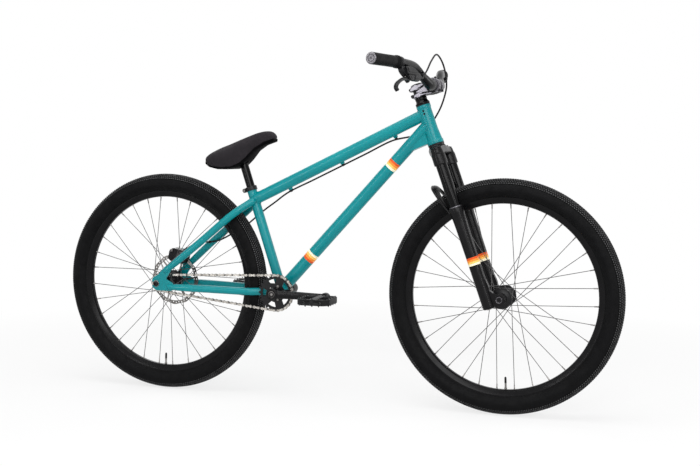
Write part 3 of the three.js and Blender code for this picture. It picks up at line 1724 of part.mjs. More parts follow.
function makePedal(name, side) {
  const halfWidth = pedalWidth / 2;
  const outline = [
    [-pedalHalfLength + pedalChamfer, -halfWidth],
    [pedalHalfLength - pedalChamfer, -halfWidth],
    [pedalHalfLength, -halfWidth + pedalChamfer],
    [pedalHalfLength, halfWidth - pedalChamfer],
    [pedalHalfLength - pedalChamfer, halfWidth],
    [-pedalHalfLength + pedalChamfer, halfWidth],
    [-pedalHalfLength, halfWidth - pedalChamfer],
    [-pedalHalfLength, -halfWidth + pedalChamfer],
  ];
  const windowX = pedalHalfLength - pedalRailWidth;
  const windowY = halfWidth - pedalRailWidth;
  const opening = [
    [-windowX, -windowY],
    [windowX, -windowY],
    [windowX, windowY],
    [-windowX, windowY],
  ];
  const plate = plateXY(outline, -pedalHalfHeight, pedalHalfHeight, [opening]);
  const near = new THREE.Vector3(0, -side * halfWidth, 0);
  const far = new THREE.Vector3(0, side * halfWidth, 0);
  const barrel = bar(near, far, pedalBarrelRadius, boltSides);
  const boreEnd = new THREE.Vector3(0, side * (halfWidth - pedalAxleEndWall), 0);
  const boreStart = new THREE.Vector3(0, -side * (halfWidth + cutOverrun), 0);
  const bore = bar(boreStart, boreEnd, pedalAxleRadius + seatGap * 3, fineSides);
  const holes = [-1, 1].map((end) => {
    const across = (end * (pedalHalfLength + pedalBarrelRadius)) / 2 - end * railHoleRadius;
    const inner = new THREE.Vector3(across, side * (halfWidth - pedalRailWidth), 0);
    const outer = new THREE.Vector3(across, side * halfWidth, 0);
    return cutterBar(inner, outer, railHoleRadius, railHoleSides);
  });
  const pedal = part(name, cut(joined(plate, barrel, ...pedalPins()), bore, ...holes), blackPaint);
  const angle = crankRestAngle * toRadians;
  const centre = bracket.clone().add(
    new THREE.Vector3(-side * crankLength * Math.cos(angle), 0, side * crankLength * Math.sin(angle)),
  );
  pedal.position.set(centre.x, side * (pedalInner + halfWidth), centre.z);
  return pedal;
}

const pinShares = [-0.6, 0.6];

// Grip pins through the front and rear rails, standing out above and below.
function pedalPins() {
  const height = pedalHalfHeight + pinHeight;
  const pins = [];
  for (const end of [-1, 1]) {
    for (const share of pinShares) {
      const x = end * (pedalHalfLength - pedalRailWidth / 2);
      const y = (share * pedalWidth) / 2;
      pins.push(bar(new THREE.Vector3(x, y, -height), new THREE.Vector3(x, y, height), pinRadius, pinSides));
    }
  }
  return pins;
}

// Bottom bracket bearings

function makeBearing(name, side) {
  const bore = spindleRadius + seatGap * 2;
  const outline = [
    [bore, shellHalfWidth - bearingSeat],
    [shellBoreRadius - seatGap, shellHalfWidth - bearingSeat],
    [shellBoreRadius - seatGap, shellHalfWidth + seatGap],
    [shellRadius, shellHalfWidth + seatGap],
    [shellRadius, shellHalfWidth + bearingOverhang],
    [bore, shellHalfWidth + bearingOverhang],
    [bore, shellHalfWidth - bearingSeat],
  ];
  const geometry = turnedY(outline, roundSides).scale(1, side, 1);
  return part(name, geometry.translate(bracket.x, bracket.y, bracket.z), blackAnodised);
}

// Seat

function onSeatAxis(distance) {
  return bracket.clone().addScaledVector(seatUp, distance);
}

function makeSeatClamp() {
  const low = onSeatAxis(seatTubeLength - collarBelow);
  const high = onSeatAxis(seatTubeLength + collarAbove);
  const ring = bar(low, high, collarRadius, tubeSides);
  const tilt = (seatAngle - 90) * toRadians;
  const height = collarBelow + collarAbove;
  const lug = block(
    [-collarRadius - collarLugLength, -collarLugHalfWidth, -height / 2],
    [-seatTubeRadius, collarLugHalfWidth, height / 2],
  );
  const middle = low.clone().lerp(high, 0.5);
  lug.rotateY(tilt).translate(middle.x, middle.y, middle.z);
  const back = middle.clone().add(
    new THREE.Vector3(-collarRadius - collarLugLength / 2, 0, 0).applyAxisAngle(new THREE.Vector3(0, 1, 0), tilt),
  );
  const left = back.clone().setY(collarBoltHalfLength);
  const right = back.clone().setY(-collarBoltHalfLength);
  const bolt = bar(right, left, collarBoltRadius, boltSides);
  const bore = cutterBar(low, high, seatTubeRadius + seatGap, tubeSides);
  return part("seat_clamp", cut(joined(ring, lug, bolt), bore), blackAnodised);
}

function makeSeatpost() {
  const low = onSeatAxis(seatTubeLength - postInsertion);
  return part("seatpost", bar(low, onSeatAxis(postTop), postRadius, postSides), blackPaint);
}

// The saddle's stations from tail to nose: shares of its length, half width, bottom and top rise.
const saddleShares = [
  [0, 0.5, 0.2, 0.26],
  [0.03, 0.74, 0.09, 0.32],
  [0.1, 0.92, 0.02, 0.41],
  [0.22, 1, 0, 0.51],
  [0.36, 0.98, 0.01, 0.62],
  [0.48, 0.86, 0.07, 0.72],
  [0.6, 0.62, 0.25, 0.82],
  [0.72, 0.45, 0.5, 0.91],
  [0.84, 0.37, 0.65, 0.98],
  [0.93, 0.33, 0.71, 0.99],
  [0.98, 0.27, 0.74, 0.93],
  [1, 0.17, 0.77, 0.86],
];
const hollowStartShare = 0.1;
const hollowEndShare = 0.72;
const shellLengthShare = 0.985;
const shellRoofShare = 0.88;
// Half of a section: shares of the half width and of the height from the bottom edge.
const saddleSideShares = [
  [0.88, 0],
  [0.95, 0.22],
  [1, 0.5],
  [0.95, 0.72],
  [0.8, 0.88],
  [0.55, 0.965],
  [0.27, 0.99],
];

function saddleRing([along, wide, low, high], inset) {
  const seat = onSeatAxis(postTop);
  const x = seat.x - saddleTailReach + along * saddleLength;
  const half = wide * saddleHalfWidth - inset;
  const foot = seat.z - saddleDrop + low * saddleRise - inset;
  const top = seat.z - saddleDrop + high * saddleRise - (inset > 0 ? saddlePadding : 0);
  const place = ([out, up], side) => new THREE.Vector3(x, side * out * half, foot + up * (top - foot));
  return [
    ...saddleSideShares.map((share) => place(share, 1)),
    place([0, 1], 1),
    ...saddleSideShares.map((share) => place(share, -1)).reverse(),
  ];
}

function makeSaddle() {
  const cover = loft(saddleShares.map((station) => saddleRing(station, 0)));
  const hollow = loft(saddleHollowShares().map((station) => saddleRing(station, saddleWall)));
  return part("saddle", cut(cover, hollow), blackFabric);
}

function saddleHollowShares() {
  return saddleShares.filter(([along]) => along >= hollowStartShare && along <= hollowEndShare);
}

// The shell lies under the roof of the cover's hollow, with a socket down to the post.
function makeSaddleBase() {
  const stations = saddleHollowShares();
  const middle = (stations[0][0] + stations[stations.length - 1][0]) / 2;
  const skirt = saddleSideShares.filter(([, up]) => up < shellRoofShare).length;
  const rings = stations.map(([along, ...rest]) => {
    const ring = saddleRing([middle + (along - middle) * shellLengthShare, ...rest], saddleWall + seatGap * 2);
    const upper = ring.slice(skirt, -skirt);
    const lower = upper.map((point) => point.clone().setZ(point.z - saddleBaseThickness)).reverse();
    return [...upper, ...lower];
  });
  const shell = loft(rings).translate(0, 0, -saddleBaseClearance);
  const foot = onSeatAxis(postTop - saddlePostGrip);
  const socket = bar(foot, onSeatAxis(postTop + saddleSocketRise), saddlePostRadius, postSides);
  const bore = bar(
    onSeatAxis(postTop - saddlePostGrip - cutOverrun),
    onSeatAxis(postTop + seatGap),
    postRadius + seatGap,
    postSides,
  );
  return part("saddle_base", cut(joined(shell, socket), bore), blackAnodised);
}

// Assembly

function namedGroup(name, ...members) {
  const made = group(...members);
  made.name = name;
  return made;
}

function makeFrame() {
  return namedGroup(
    "frame",
    makeHeadTube(),
    makeTopTube(),
    makeDownTube(),
    makeGusset(),
    makeSeatTube(),
    makeShell(),
    makeRearFrame(),
    makeUpperCup(),
    makeLowerCup(),
    makeBearing("bottom_bracket_bearing_right", -1),
    makeBearing("bottom_bracket_bearing_left", 1),
  );
}

function makeSeat() {
  return namedGroup("seat", makeSeatClamp(), makeSeatpost(), makeSaddleBase(), makeSaddle());
}

function makeCockpit() {
  return namedGroup(
    "cockpit",
    makeHeadsetCover(),
    makeStemBody(),
    makeFaceplate(),
    makeTopCap(),
    makeHandlebar(),
    makeGrip("grip_right", -1),
    makeGrip("grip_left", 1),
    makeBrakeMaster(),
    makeBlade(),
  );
}

function makeSteering() {
  const fork = namedGroup(
    "fork",
    makeCrown(),
    makeStanchion("stanchion_right", -1),
    makeStanchion("stanchion_left", 1),
    makeLowers(),
    makeFrontAxle(),
  );
  const steering = namedGroup("steering", fork, makeCockpit());
  steering.position.copy(headFoot);
  steering.rotation.y = steerTilt;
  return steering;
}

function makeRearBrake() {
  return namedGroup("rear_brake", makeCaliper(), makeBrakeHose());
}

function makeRearAxleSet() {
  return namedGroup(
    "rear_axle_set",
    makeRearAxle(),
    makeAxleBolt("axle_bolt_right", -1),
    makeAxleBolt("axle_bolt_left", 1),
  );
}

function makeDrive() {
  return namedGroup(
    "drive",
    makeCranks(),
    makePedal("pedal_right", -1),
    makePedal("pedal_left", 1),
    makeChain(),
    makeCog(),
  );
}

const bike = namedGroup(
  "dirt_jump_bike",
  makeFrame(),
  makeSeat(),
  makeSteering(),
  makeFrontWheel(),
  makeRearWheel(),
  makeRearAxleSet(),
  makeRearBrake(),
  makeDrive(),
);

export default bike;
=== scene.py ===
import math
import bmesh
import bpy
import numpy as np
from mathutils import Matrix, Vector
from mathutils.geometry import tessellate_polygon


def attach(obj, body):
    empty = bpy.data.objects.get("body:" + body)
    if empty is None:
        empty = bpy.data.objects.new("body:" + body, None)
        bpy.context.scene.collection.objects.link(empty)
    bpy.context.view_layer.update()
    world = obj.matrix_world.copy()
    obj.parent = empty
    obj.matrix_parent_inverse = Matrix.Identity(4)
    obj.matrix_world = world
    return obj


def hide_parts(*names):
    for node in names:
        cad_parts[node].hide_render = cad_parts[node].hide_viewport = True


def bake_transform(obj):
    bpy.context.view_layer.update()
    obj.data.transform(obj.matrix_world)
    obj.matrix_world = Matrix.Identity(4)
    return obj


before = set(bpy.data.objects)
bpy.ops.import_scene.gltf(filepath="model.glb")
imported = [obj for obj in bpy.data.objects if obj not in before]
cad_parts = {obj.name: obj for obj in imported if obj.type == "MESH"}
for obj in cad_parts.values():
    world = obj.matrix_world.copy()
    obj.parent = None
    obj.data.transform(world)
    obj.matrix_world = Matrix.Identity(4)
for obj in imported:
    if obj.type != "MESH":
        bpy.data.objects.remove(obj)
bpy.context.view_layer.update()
print("frame loaded with", len(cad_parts), "nodes")

mm = 0.001  # every size below is in millimetres

bikeLayout = {
    "wheelbase": 1054,
    "tyreRadius": 334,
    "bracketHeight": 320,
    "chainstay": 385,
    "seatAngle": 71.8,
    "headAngle": 70.4,
    "forkOffset": 45,
    "axleToHeadTube": 471,
    "headTubeLength": 115,
    "seatTubeLength": 320,
}


# Places and directions

def place(x, y, z):
    return np.array([x, y, z], dtype=float)


rearAxle = place(-bikeLayout["wheelbase"] / 2, 0, bikeLayout["tyreRadius"])
frontAxle = place(bikeLayout["wheelbase"] / 2, 0, bikeLayout["tyreRadius"])
bracketDrop = bikeLayout["tyreRadius"] - bikeLayout["bracketHeight"]
bracketReach = math.sqrt(bikeLayout["chainstay"] ** 2 - bracketDrop ** 2)
bracket = rearAxle + place(bracketReach, 0, -bracketDrop)
seatLean = math.radians(bikeLayout["seatAngle"])
headLean = math.radians(bikeLayout["headAngle"])
leftward = place(0, 1, 0)
upward = place(0, 0, 1)
forward = place(1, 0, 0)
seatUp = place(-math.cos(seatLean), 0, math.sin(seatLean))
seatForward = place(math.sin(seatLean), 0, math.cos(seatLean))
steerUp = place(-math.cos(headLean), 0, math.sin(headLean))
steerForward = place(math.sin(headLean), 0, math.cos(headLean))
headFoot = frontAxle - steerForward * bikeLayout["forkOffset"] + steerUp * bikeLayout["axleToHeadTube"]
headTop = headFoot + steerUp * bikeLayout["headTubeLength"]
seatTop = bracket + seatUp * bikeLayout["seatTubeLength"]


# A setting is an origin and the directions of a local X, Y and Z.
def setting(origin, xAxis=forward, yAxis=leftward, zAxis=upward):
    return origin, np.array([xAxis, yAxis, zAxis])


def setInto(where, points):
    origin, axes = where
    return np.asarray(points, dtype=float) @ axes + origin


steerSetting = setting(headFoot, steerForward, leftward, steerUp)
steerSide = setting(headFoot, steerForward, steerUp, leftward)  # the same, seen from the side
seatSetting = setting(bracket, seatForward, leftward, seatUp)
bothSides = (("right", -1), ("left", 1))


# Seen from the side: local X is ahead, Y is up and Z is out to the left, or to the right for side -1.
def sideOn(centre=(0, 0, 0), side=1):
    return setting(centre, forward, upward, leftward * side)


# Local Z runs along the axle, to the left; the wheel stands turned a little.
def wheelSetting(centre, degrees):
    turn = math.radians(degrees)
    ahead = place(math.cos(turn), 0, -math.sin(turn))
    return setting(centre, ahead, place(math.sin(turn), 0, math.cos(turn)), leftward)


rearWheel = wheelSetting(rearAxle, 1.6)
frontWheel = wheelSetting(frontAxle, -2.3)


def fromRear(reach, side, rise):
    return rearAxle + place(reach, side, rise)


def unit(vector):
    return np.asarray(vector, dtype=float) / np.linalg.norm(vector)


def polar(radius, angle):
    return radius * np.cos(angle), radius * np.sin(angle)


def roundAngles(count):
    return np.linspace(0, 2 * math.pi, count, endpoint=False)


def levelRing(radius, angles, level):
    return np.column_stack([*polar(radius, angles), np.full(len(angles), level)])


def newObject(name, data):
    made = bpy.data.objects.new(name, data)
    bpy.context.scene.collection.objects.link(made)
    return made


def settingAlong(origin, direction, hint=upward):
    zAxis = unit(direction)
    xAxis = unit(np.cross(hint, zAxis))
    return setting(origin, xAxis, np.cross(zAxis, xAxis), zAxis)


# Finishes

def colour(red, green, blue):
    shares = [value / 255 for value in (red, green, blue)]
    return [((s + 0.055) / 1.055) ** 2.4 if s > 0.04045 else s / 12.92 for s in shares] + [1.0]


def newFinish(name, **sockets):
    material = bpy.data.materials.new(name)
    material.use_nodes = True
    shader = material.node_tree.nodes["Principled BSDF"]
    for socket, value in sockets.items():
        shader.inputs[socket.replace("_", " ")].default_value = value
    return material


def addNode(material, kind, **settings):
    node = material.node_tree.nodes.new("ShaderNode" + kind)
    for name, value in settings.items():
        setattr(node, name, value)
    return node


def wire(material, output, target):
    material.node_tree.links.new(output, target)


def principled(material):
    return material.node_tree.nodes["Principled BSDF"]


def objectPoint(material):
    return addNode(material, "TexCoord").outputs["Object"]


def noiseOn(material, scale, detail=3.0, stretch=(1, 1, 1)):
    mapping = addNode(material, "Mapping")
    mapping.inputs["Scale"].default_value = stretch
    wire(material, objectPoint(material), mapping.inputs["Vector"])
    noise = addNode(material, "TexNoise")
    noise.inputs["Scale"].default_value = scale
    noise.inputs["Detail"].default_value = detail
    wire(material, mapping.outputs["Vector"], noise.inputs["Vector"])
    return noise.outputs["Fac"]


def maths(material, operation, first, second=None):
    node = addNode(material, "Math", operation=operation)
    for index, value in enumerate((first, second)):
        if isinstance(value, (int, float)):
            node.inputs[index].default_value = value
        elif value is not None:
            wire(material, value, node.inputs[index])
    return node.outputs[0]


def vectorMaths(material, operation, first, second=None):
    node = addNode(material, "VectorMath", operation=operation)
    wire(material, first, node.inputs[0])
    if second is not None:
        node.inputs[1].default_value = second
    return node.outputs


def ranged(material, value, low, high, fromLow=0.3, fromHigh=0.7):
    node = addNode(material, "MapRange")
    node.inputs["From Min"].default_value = fromLow
    node.inputs["From Max"].default_value = fromHigh
    node.inputs["To Min"].default_value = low
    node.inputs["To Max"].default_value = high
    wire(material, value, node.inputs["Value"])
    return node.outputs["Result"]


def mixedColour(material, share, first, second):
    node = addNode(material, "Mix", data_type="RGBA")
    wire(material, share, node.inputs[0])
    for index, value in ((6, first), (7, second)):
        if isinstance(value, list):
            node.inputs[index].default_value = value
        else:
            wire(material, value, node.inputs[index])
    return node.outputs[2]


def giveColour(material, output):
    wire(material, output, principled(material).inputs["Base Color"])


def giveRoughness(material, scale, low, high, stretch=(1, 1, 1)):
    noise = noiseOn(material, scale, 4.0, stretch)
    wire(material, ranged(material, noise, low, high), principled(material).inputs["Roughness"])


def giveBump(material, height, depth, strength=1.0):
    bump = addNode(material, "Bump")
    bump.inputs["Strength"].default_value = strength
    bump.inputs["Distance"].default_value = depth * mm
    wire(material, height, bump.inputs["Height"])
    shader = principled(material)
    if shader.inputs["Normal"].is_linked:
        wire(material, shader.inputs["Normal"].links[0].from_socket, bump.inputs["Normal"])
    wire(material, bump.outputs["Normal"], shader.inputs["Normal"])


def awayFrom(material, origin):
    return vectorMaths(material, "SUBTRACT", objectPoint(material), Vector(origin) * mm)["Vector"]


def reachAlong(material, origin, direction):
    away = awayFrom(material, origin)
    return vectorMaths(material, "DOT_PRODUCT", away, Vector(direction) / mm)["Value"]


# Plain bands of colour across a tube, given by where each starts along it.
def bandedColour(material, base, along, bands):
    ramp = addNode(material, "ValToRGB")
    ramp.color_ramp.interpolation = "CONSTANT"
    start, end = bands[0][0], bands[-1][0]
    for index, (at, tint) in enumerate(bands[:-1]):
        stops = ramp.color_ramp.elements
        stop = stops[index] if index < len(stops) else stops.new((at - start) / (end - start))
        stop.position = (at - start) / (end - start)
        stop.color = tint
    wire(material, ranged(material, along, 0, 1, start, end), ramp.inputs["Fac"])
    past = maths(material, "GREATER_THAN", along, float(start))
    before = maths(material, "LESS_THAN", along, float(end))
    return mixedColour(material, maths(material, "MULTIPLY", past, before), base, ramp.outputs["Color"])


# A base colour in two tones, mixed by a soft noise, with any bands over it.
def giveTones(material, first, second, noise, bandsAlong=()):
    base = mixedColour(material, ranged(material, noise, 0, 1), first, second)
    for origin, direction, bands in bandsAlong:
        base = bandedColour(material, base, reachAlong(material, origin, direction), bands)
    giveColour(material, base)


stripeTints = {
    "red": colour(216, 84, 32),
    "orange": colour(238, 140, 52),
    "yellow": colour(248, 196, 104),
    "cream": colour(246, 238, 206),
}

paintLook = {
    "teal": colour(0, 131, 136),
    "tealDeep": colour(0, 122, 128),
    "toneScale": 9,
    "roughness": (0.26, 0.34),
    "roughnessScale": 30,
    "orangePeelScale": 260,
    "orangePeelDepth": 0.0003,
}


def makeTealPaint(name, bandsAlong=()):
    material = newFinish(name, Coat_Weight=0.1, Coat_Roughness=0.06, Specular_IOR_Level=0.2)
    tones = noiseOn(material, paintLook["toneScale"])
    giveTones(material, paintLook["teal"], paintLook["tealDeep"], tones, bandsAlong)
    giveRoughness(material, paintLook["roughnessScale"], *paintLook["roughness"])
    giveBump(material, noiseOn(material, paintLook["orangePeelScale"]), paintLook["orangePeelDepth"])
    return material


darkLook = {
    "paint": {"from": (5, 5, 6), "to": (12, 11, 13), "roughness": (0.22, 0.32), "specular": 0.16},
    "anodised": {"from": (12, 12, 13), "to": (20, 20, 22), "roughness": (0.3, 0.42), "specular": 0.2},
    "rim": {"from": (7, 7, 8), "to": (13, 12, 14), "roughness": (0.2, 0.3), "specular": 0.12},
    "under": {"from": (4, 4, 5), "to": (9, 9, 10), "roughness": (0.6, 0.75), "specular": 0.02},
    "sleeve": {"from": (3, 3, 4), "to": (6, 6, 7), "roughness": (0.1, 0.16), "specular": 0.12},
    "spoke": {"from": (50, 49, 50), "to": (76, 75, 75), "roughness": (0.3, 0.42), "specular": 0.4},
    "plastic": {"from": (11, 11, 12), "to": (19, 19, 21), "roughness": (0.4, 0.55), "specular": 0.16},
    "toneScale": 22,
    "roughnessScale": 60,
    "grainScale": 420,
    "grainDepth": 0.0006,
}


def makeDark(name, kind, bandsAlong=()):
    look = darkLook[kind]
    material = newFinish(name, Specular_IOR_Level=look["specular"])
    tones = noiseOn(material, darkLook["toneScale"])
    giveTones(material, colour(*look["from"]), colour(*look["to"]), tones, bandsAlong)
    giveRoughness(material, darkLook["roughnessScale"], *look["roughness"])
    giveBump(material, noiseOn(material, darkLook["grainScale"]), darkLook["grainDepth"])
    return material


metalLook = {
    "stem": {"from": (150, 147, 156), "to": (186, 183, 192), "roughness": (0.3, 0.42), "stretch": (1, 14, 1)},
    "chain": {"from": (138, 134, 128), "to": (192, 188, 182), "roughness": (0.22, 0.38)},
    "bolt": {"from": (92, 90, 90), "to": (140, 137, 134), "roughness": (0.26, 0.4)},
    # A darker copy of the chain's steel for the inner plates and rollers: painted shade between the outer
    # plates.
    "link": {"from": (70, 68, 66), "to": (112, 109, 106), "roughness": (0.26, 0.4)},
    "faceplate": {"from": (88, 87, 91), "to": (122, 120, 125), "roughness": (0.3, 0.42),
                  "stretch": (1, 14, 1)},
    "disc": {"from": (92, 90, 88), "to": (140, 137, 134), "roughness": (0.24, 0.36)},
    "cap": {"from": (88, 87, 90), "to": (122, 120, 124), "roughness": (0.3, 0.42)},
    "toneScale": 45,
    "roughnessScale": 120,
    "brushScale": 300,
    "brushDepth": 0.004,
}


def makeMetal(name, kind):
    look = metalLook[kind]
    stretch = look.get("stretch", (1, 1, 1))
    material = newFinish(name, Metallic=1.0)
    tones = noiseOn(material, metalLook["toneScale"], 5.0, stretch)
    giveTones(material, colour(*look["from"]), colour(*look["to"]), tones)
    giveRoughness(material, metalLook["roughnessScale"], *look["roughness"], stretch)
    brushed = noiseOn(material, metalLook["brushScale"], 2.0, stretch)
    giveBump(material, brushed, metalLook["brushDepth"])
    return material


rubberLook = {
    "dark": colour(5, 5, 6),
    "worn": colour(12, 12, 13),
    # The tread's blocks are far lighter than the same rubber on the walls, a painted highlight on their tops;
    # the grooves are near black, painted shade.
    "treadPaintedHighlight": colour(56, 56, 57),
    "treadPaintedHighlightPale": colour(78, 78, 79),
    "groove": colour(4, 4, 4),
    "toneScale": 38,
    "roughness": (0.5, 0.68),
    "roughnessScale": 70,
    "grainScale": 500,
    "grainDepth": 0.03,
    "ribPitch": 1.9,
    "ribDepth": 0.12,
    "ribStrength": 0.6,
}


def makeRubber(name, ribsRound=None, shades=("dark", "worn")):
    material = newFinish(name, Specular_IOR_Level=0.08)
    tones = noiseOn(material, rubberLook["toneScale"], 5.0)
    giveTones(material, *[rubberLook[shade] for shade in shades], tones)
    giveRoughness(material, rubberLook["roughnessScale"], *rubberLook["roughness"])
    giveBump(material, noiseOn(material, rubberLook["grainScale"]), rubberLook["grainDepth"])
    if ribsRound is not None:
        flat = vectorMaths(material, "MULTIPLY", awayFrom(material, ribsRound), (1, 0, 1))["Vector"]
        length = vectorMaths(material, "LENGTH", flat)["Value"]
        turns = maths(material, "MULTIPLY", length, 2 * math.pi / (rubberLook["ribPitch"] * mm))
        ribs = maths(material, "SINE", turns)
        giveBump(material, ribs, rubberLook["ribDepth"], rubberLook["ribStrength"])
    return material


fabricLook = {
    "thread": colour(39, 35, 39),
    "shadow": colour(27, 25, 28),
    "sheen": 0.03,
    "weavePitch": 1.1,
    "weaveDepth": 0.22,
    "blotchScale": 26,
    "creaseScale": 60,
    "creaseDepth": 0.5,
    "creaseStrength": 0.4,
}


def makeFabric(name):
    material = newFinish(name, Roughness=0.88, Specular_IOR_Level=0.16)
    principled(material).inputs["Sheen Weight"].default_value = fabricLook["sheen"]
    split = addNode(material, "SeparateXYZ")
    wire(material, objectPoint(material), split.inputs[0])
    step = 2 * math.pi / (fabricLook["weavePitch"] * mm)
    warp = maths(material, "SINE", maths(material, "MULTIPLY", split.outputs["X"], step))
    weft = maths(material, "SINE", maths(material, "MULTIPLY", split.outputs["Y"], step))
    weave = ranged(material, maths(material, "MULTIPLY", warp, weft), 0, 1, -1, 1)
    blotch = ranged(material, noiseOn(material, fabricLook["blotchScale"], 4.0), 0, 1)
    share = maths(material, "MULTIPLY", maths(material, "ADD", weave, blotch), 0.5)
    giveColour(material, mixedColour(material, share, fabricLook["thread"], fabricLook["shadow"]))
    giveBump(material, weave, fabricLook["weaveDepth"])
    creases = noiseOn(material, fabricLook["creaseScale"])
    giveBump(material, creases, fabricLook["creaseDepth"], fabricLook["creaseStrength"])
    return material


# Shapes are pairs of corners and faces, in millimetres.

def lathe(profile, sides=64, looped=False):
    angles = roundAngles(sides)
    return skin([levelRing(r, angles, h) for r, h in profile], looped=looped, capped=False)


# Joins a run of equal rings; the ends are closed with one flat face each.
def skin(rings, looped=False, capped=True):
    count = len(rings[0])
    faces = []
    runs = len(rings) if looped else len(rings) - 1
    for i in range(runs):
        j = (i + 1) % len(rings)
        for k in range(count):
            m = (k + 1) % count
            faces.append((i * count + k, i * count + m, j * count + m, j * count + k))
    if capped and not looped:
        faces.append(tuple(range(count)))
        faces.append(tuple((len(rings) - 1) * count + k for k in range(count)))
    return np.concatenate([np.asarray(ring, dtype=float) for ring in rings]), faces


# Replaces each corner of an outline with a short curve.
def rounded(points, radius, steps=4, closed=True):
    points = [np.asarray(p, dtype=float) for p in points]
    made = []
    for i, here in enumerate(points):
        if not closed and i in (0, len(points) - 1):
            made.append(here)
            continue
        before, after = points[i - 1] - here, points[(i + 1) % len(points)] - here
        reach = min(radius, 0.45 * np.linalg.norm(before), 0.45 * np.linalg.norm(after))
        start, end = here + unit(before) * reach, here + unit(after) * reach
        for k in range(steps + 1):
            t = k / steps
            made.append((1 - t) ** 2 * start + 2 * t * (1 - t) * here + t * t * end)
    return made


def turned(profile, sides=64, edge=0.6, looped=True):
    return lathe(rounded(profile, edge, 3, looped), sides, looped)


# A plain ring, between two radii and two heights.
def sleeve(inner, outer, low, high, sides, edge):
    return turned([(inner, low), (outer, low), (outer, high), (inner, high)], sides, edge)


def arcPoints(centre, radius, fromDegrees, toDegrees, steps):
    angles = np.radians(np.linspace(fromDegrees, toDegrees, steps + 1))
    return [np.array(centre) + polar(radius, a) for a in angles]


def circlePoints(centre, radius, steps=24):
    return arcPoints(centre, radius, 0, 360 - 360 / steps, steps - 1)


# Moves a closed outline inwards, or outwards where the distance is negative.
def inset(outline, by):
    points = [np.asarray(p, dtype=float)[:2] for p in outline]
    after = points[1:] + points[:1]
    before = points[-1:] + points[:-1]
    turn = np.sign(sum(a[0] * b[1] - b[0] * a[1] for a, b in zip(points, after)))
    made = []
    for last, here, following in zip(before, points, after):
        first, second = here - last, following - here
        edgeNormal = turn * unit((-first[1], first[0]))
        inward = unit(edgeNormal + turn * unit((-second[1], second[0])))
        made.append(here + inward * by / max(edgeNormal @ inward, 0.5))
    return made


# A flat plate: an outline in local X and Y, with holes, between two heights. Its edges may be softened.
def plate(outline, low, high, holes=(), edge=0.0):
    full = [[np.asarray(p, dtype=float)[:2] for p in loop] for loop in (outline, *holes)]
    layers = [(full, low), (full, high)]
    if edge:
        small = [inset(loop, -edge if index else edge) for index, loop in enumerate(full)]
        layers = [(small, low), (full, low + edge), (full, high - edge), (small, high)]
    triangles = tessellate_polygon([[Vector((p[0], p[1], 0)) for p in loop] for loop in layers[0][0]])
    count = sum(len(loop) for loop in full)
    corners = []
    for loops, level in layers:
        corners.extend((p[0], p[1], level) for loop in loops for p in loop)
    last = count * (len(layers) - 1)
    faces = [tuple(t) for t in triangles] + [tuple(last + i for i in t) for t in triangles]
    for layer in range(len(layers) - 1):
        start = layer * count
        for loop in full:
            size = len(loop)
            for k in range(size):
                m = (k + 1) % size
                faces.append((start + k, start + m, start + count + m, start + count + k))
            start += size
    return np.array(corners), faces


# A plate on one side of the bike, between two distances from its middle.
def sidePlate(outline, side, inner, outer, edge=0.0):
    low, high = sorted((side * inner, side * outer))
    return plate(outline, low, high, edge=edge)


def block(low, high, edge=0.6):
    outline = [(low[0], low[1]), (high[0], low[1]), (high[0], high[1]), (low[0], high[1])]
    return plate(outline, low[2], high[2], edge=edge)


# A smooth line through points, evenly spaced: a centripetal Catmull-Rom curve.
def smoothLine(points, steps):
    points = [np.asarray(p, dtype=float) for p in points]
    points = [2 * points[0] - points[1], *points, 2 * points[-1] - points[-2]]
    dense = []
    for p0, p1, p2, p3 in zip(points, points[1:], points[2:], points[3:]):
        t0, t1 = 0, max(np.linalg.norm(p1 - p0), 1e-9) ** 0.5
        t2 = t1 + max(np.linalg.norm(p2 - p1), 1e-9) ** 0.5
        t3 = t2 + max(np.linalg.norm(p3 - p2), 1e-9) ** 0.5
        for t in np.linspace(t1, t2, 24, endpoint=False):
            a1 = (t1 - t) / (t1 - t0) * p0 + (t - t0) / (t1 - t0) * p1
            a2 = (t2 - t) / (t2 - t1) * p1 + (t - t1) / (t2 - t1) * p2
            a3 = (t3 - t) / (t3 - t2) * p2 + (t - t2) / (t3 - t2) * p3
            b1 = (t2 - t) / (t2 - t0) * a1 + (t - t0) / (t2 - t0) * a2
            b2 = (t3 - t) / (t3 - t1) * a2 + (t - t1) / (t3 - t1) * a3
            dense.append((t2 - t) / (t2 - t1) * b1 + (t - t1) / (t2 - t1) * b2)
    dense.append(points[-2])
    return evenly(np.array(dense), steps)


def evenly(line, steps):
    gaps = np.linalg.norm(np.diff(line, axis=0), axis=1)
    run = np.concatenate([[0], np.cumsum(gaps)])
    wanted = np.linspace(0, run[-1], steps + 1)
    return np.column_stack([np.interp(wanted, run, line[:, i]) for i in range(line.shape[1])])


# Directions across a line, carried along it without twist.
def crossings(line, looped=False):
    ahead = np.roll(line, -1, axis=0) - np.roll(line, 1, axis=0) if looped else np.gradient(line, axis=0)
    ahead = ahead / np.linalg.norm(ahead, axis=1)[:, None]
    hint = upward if abs(ahead[0] @ upward) < 0.9 else leftward
    across = unit(np.cross(ahead[0], hint))
    firsts, seconds = [], []
    for direction in ahead:
        across = unit(across - (across @ direction) * direction)
        firsts.append(across)
        seconds.append(np.cross(direction, across))
    return np.array(firsts), np.array(seconds)


# A round or oval tube along a line; radius may be one number or one for each point.
def tube(line, radius, sides=24, looped=False, squash=1.0, squashAlong=None):
    line = np.asarray(line, dtype=float)
    firsts, seconds = crossings(line, looped)
    if squashAlong is not None:
        ahead = np.cross(firsts, seconds)
        firsts = np.array([unit(squashAlong - (squashAlong @ a) * a) for a in ahead])
        seconds = np.cross(ahead, firsts)
    radii = np.broadcast_to(np.asarray(radius, dtype=float), (len(line),))
    angles = roundAngles(sides)
    rings = []
    for here, first, second, r in zip(line, firsts, seconds, radii):
        wide, high = polar(r, angles)
        rings.append(here + np.outer(wide * squash, first) + np.outer(high, second))
    return skin(rings, looped, capped=not looped)


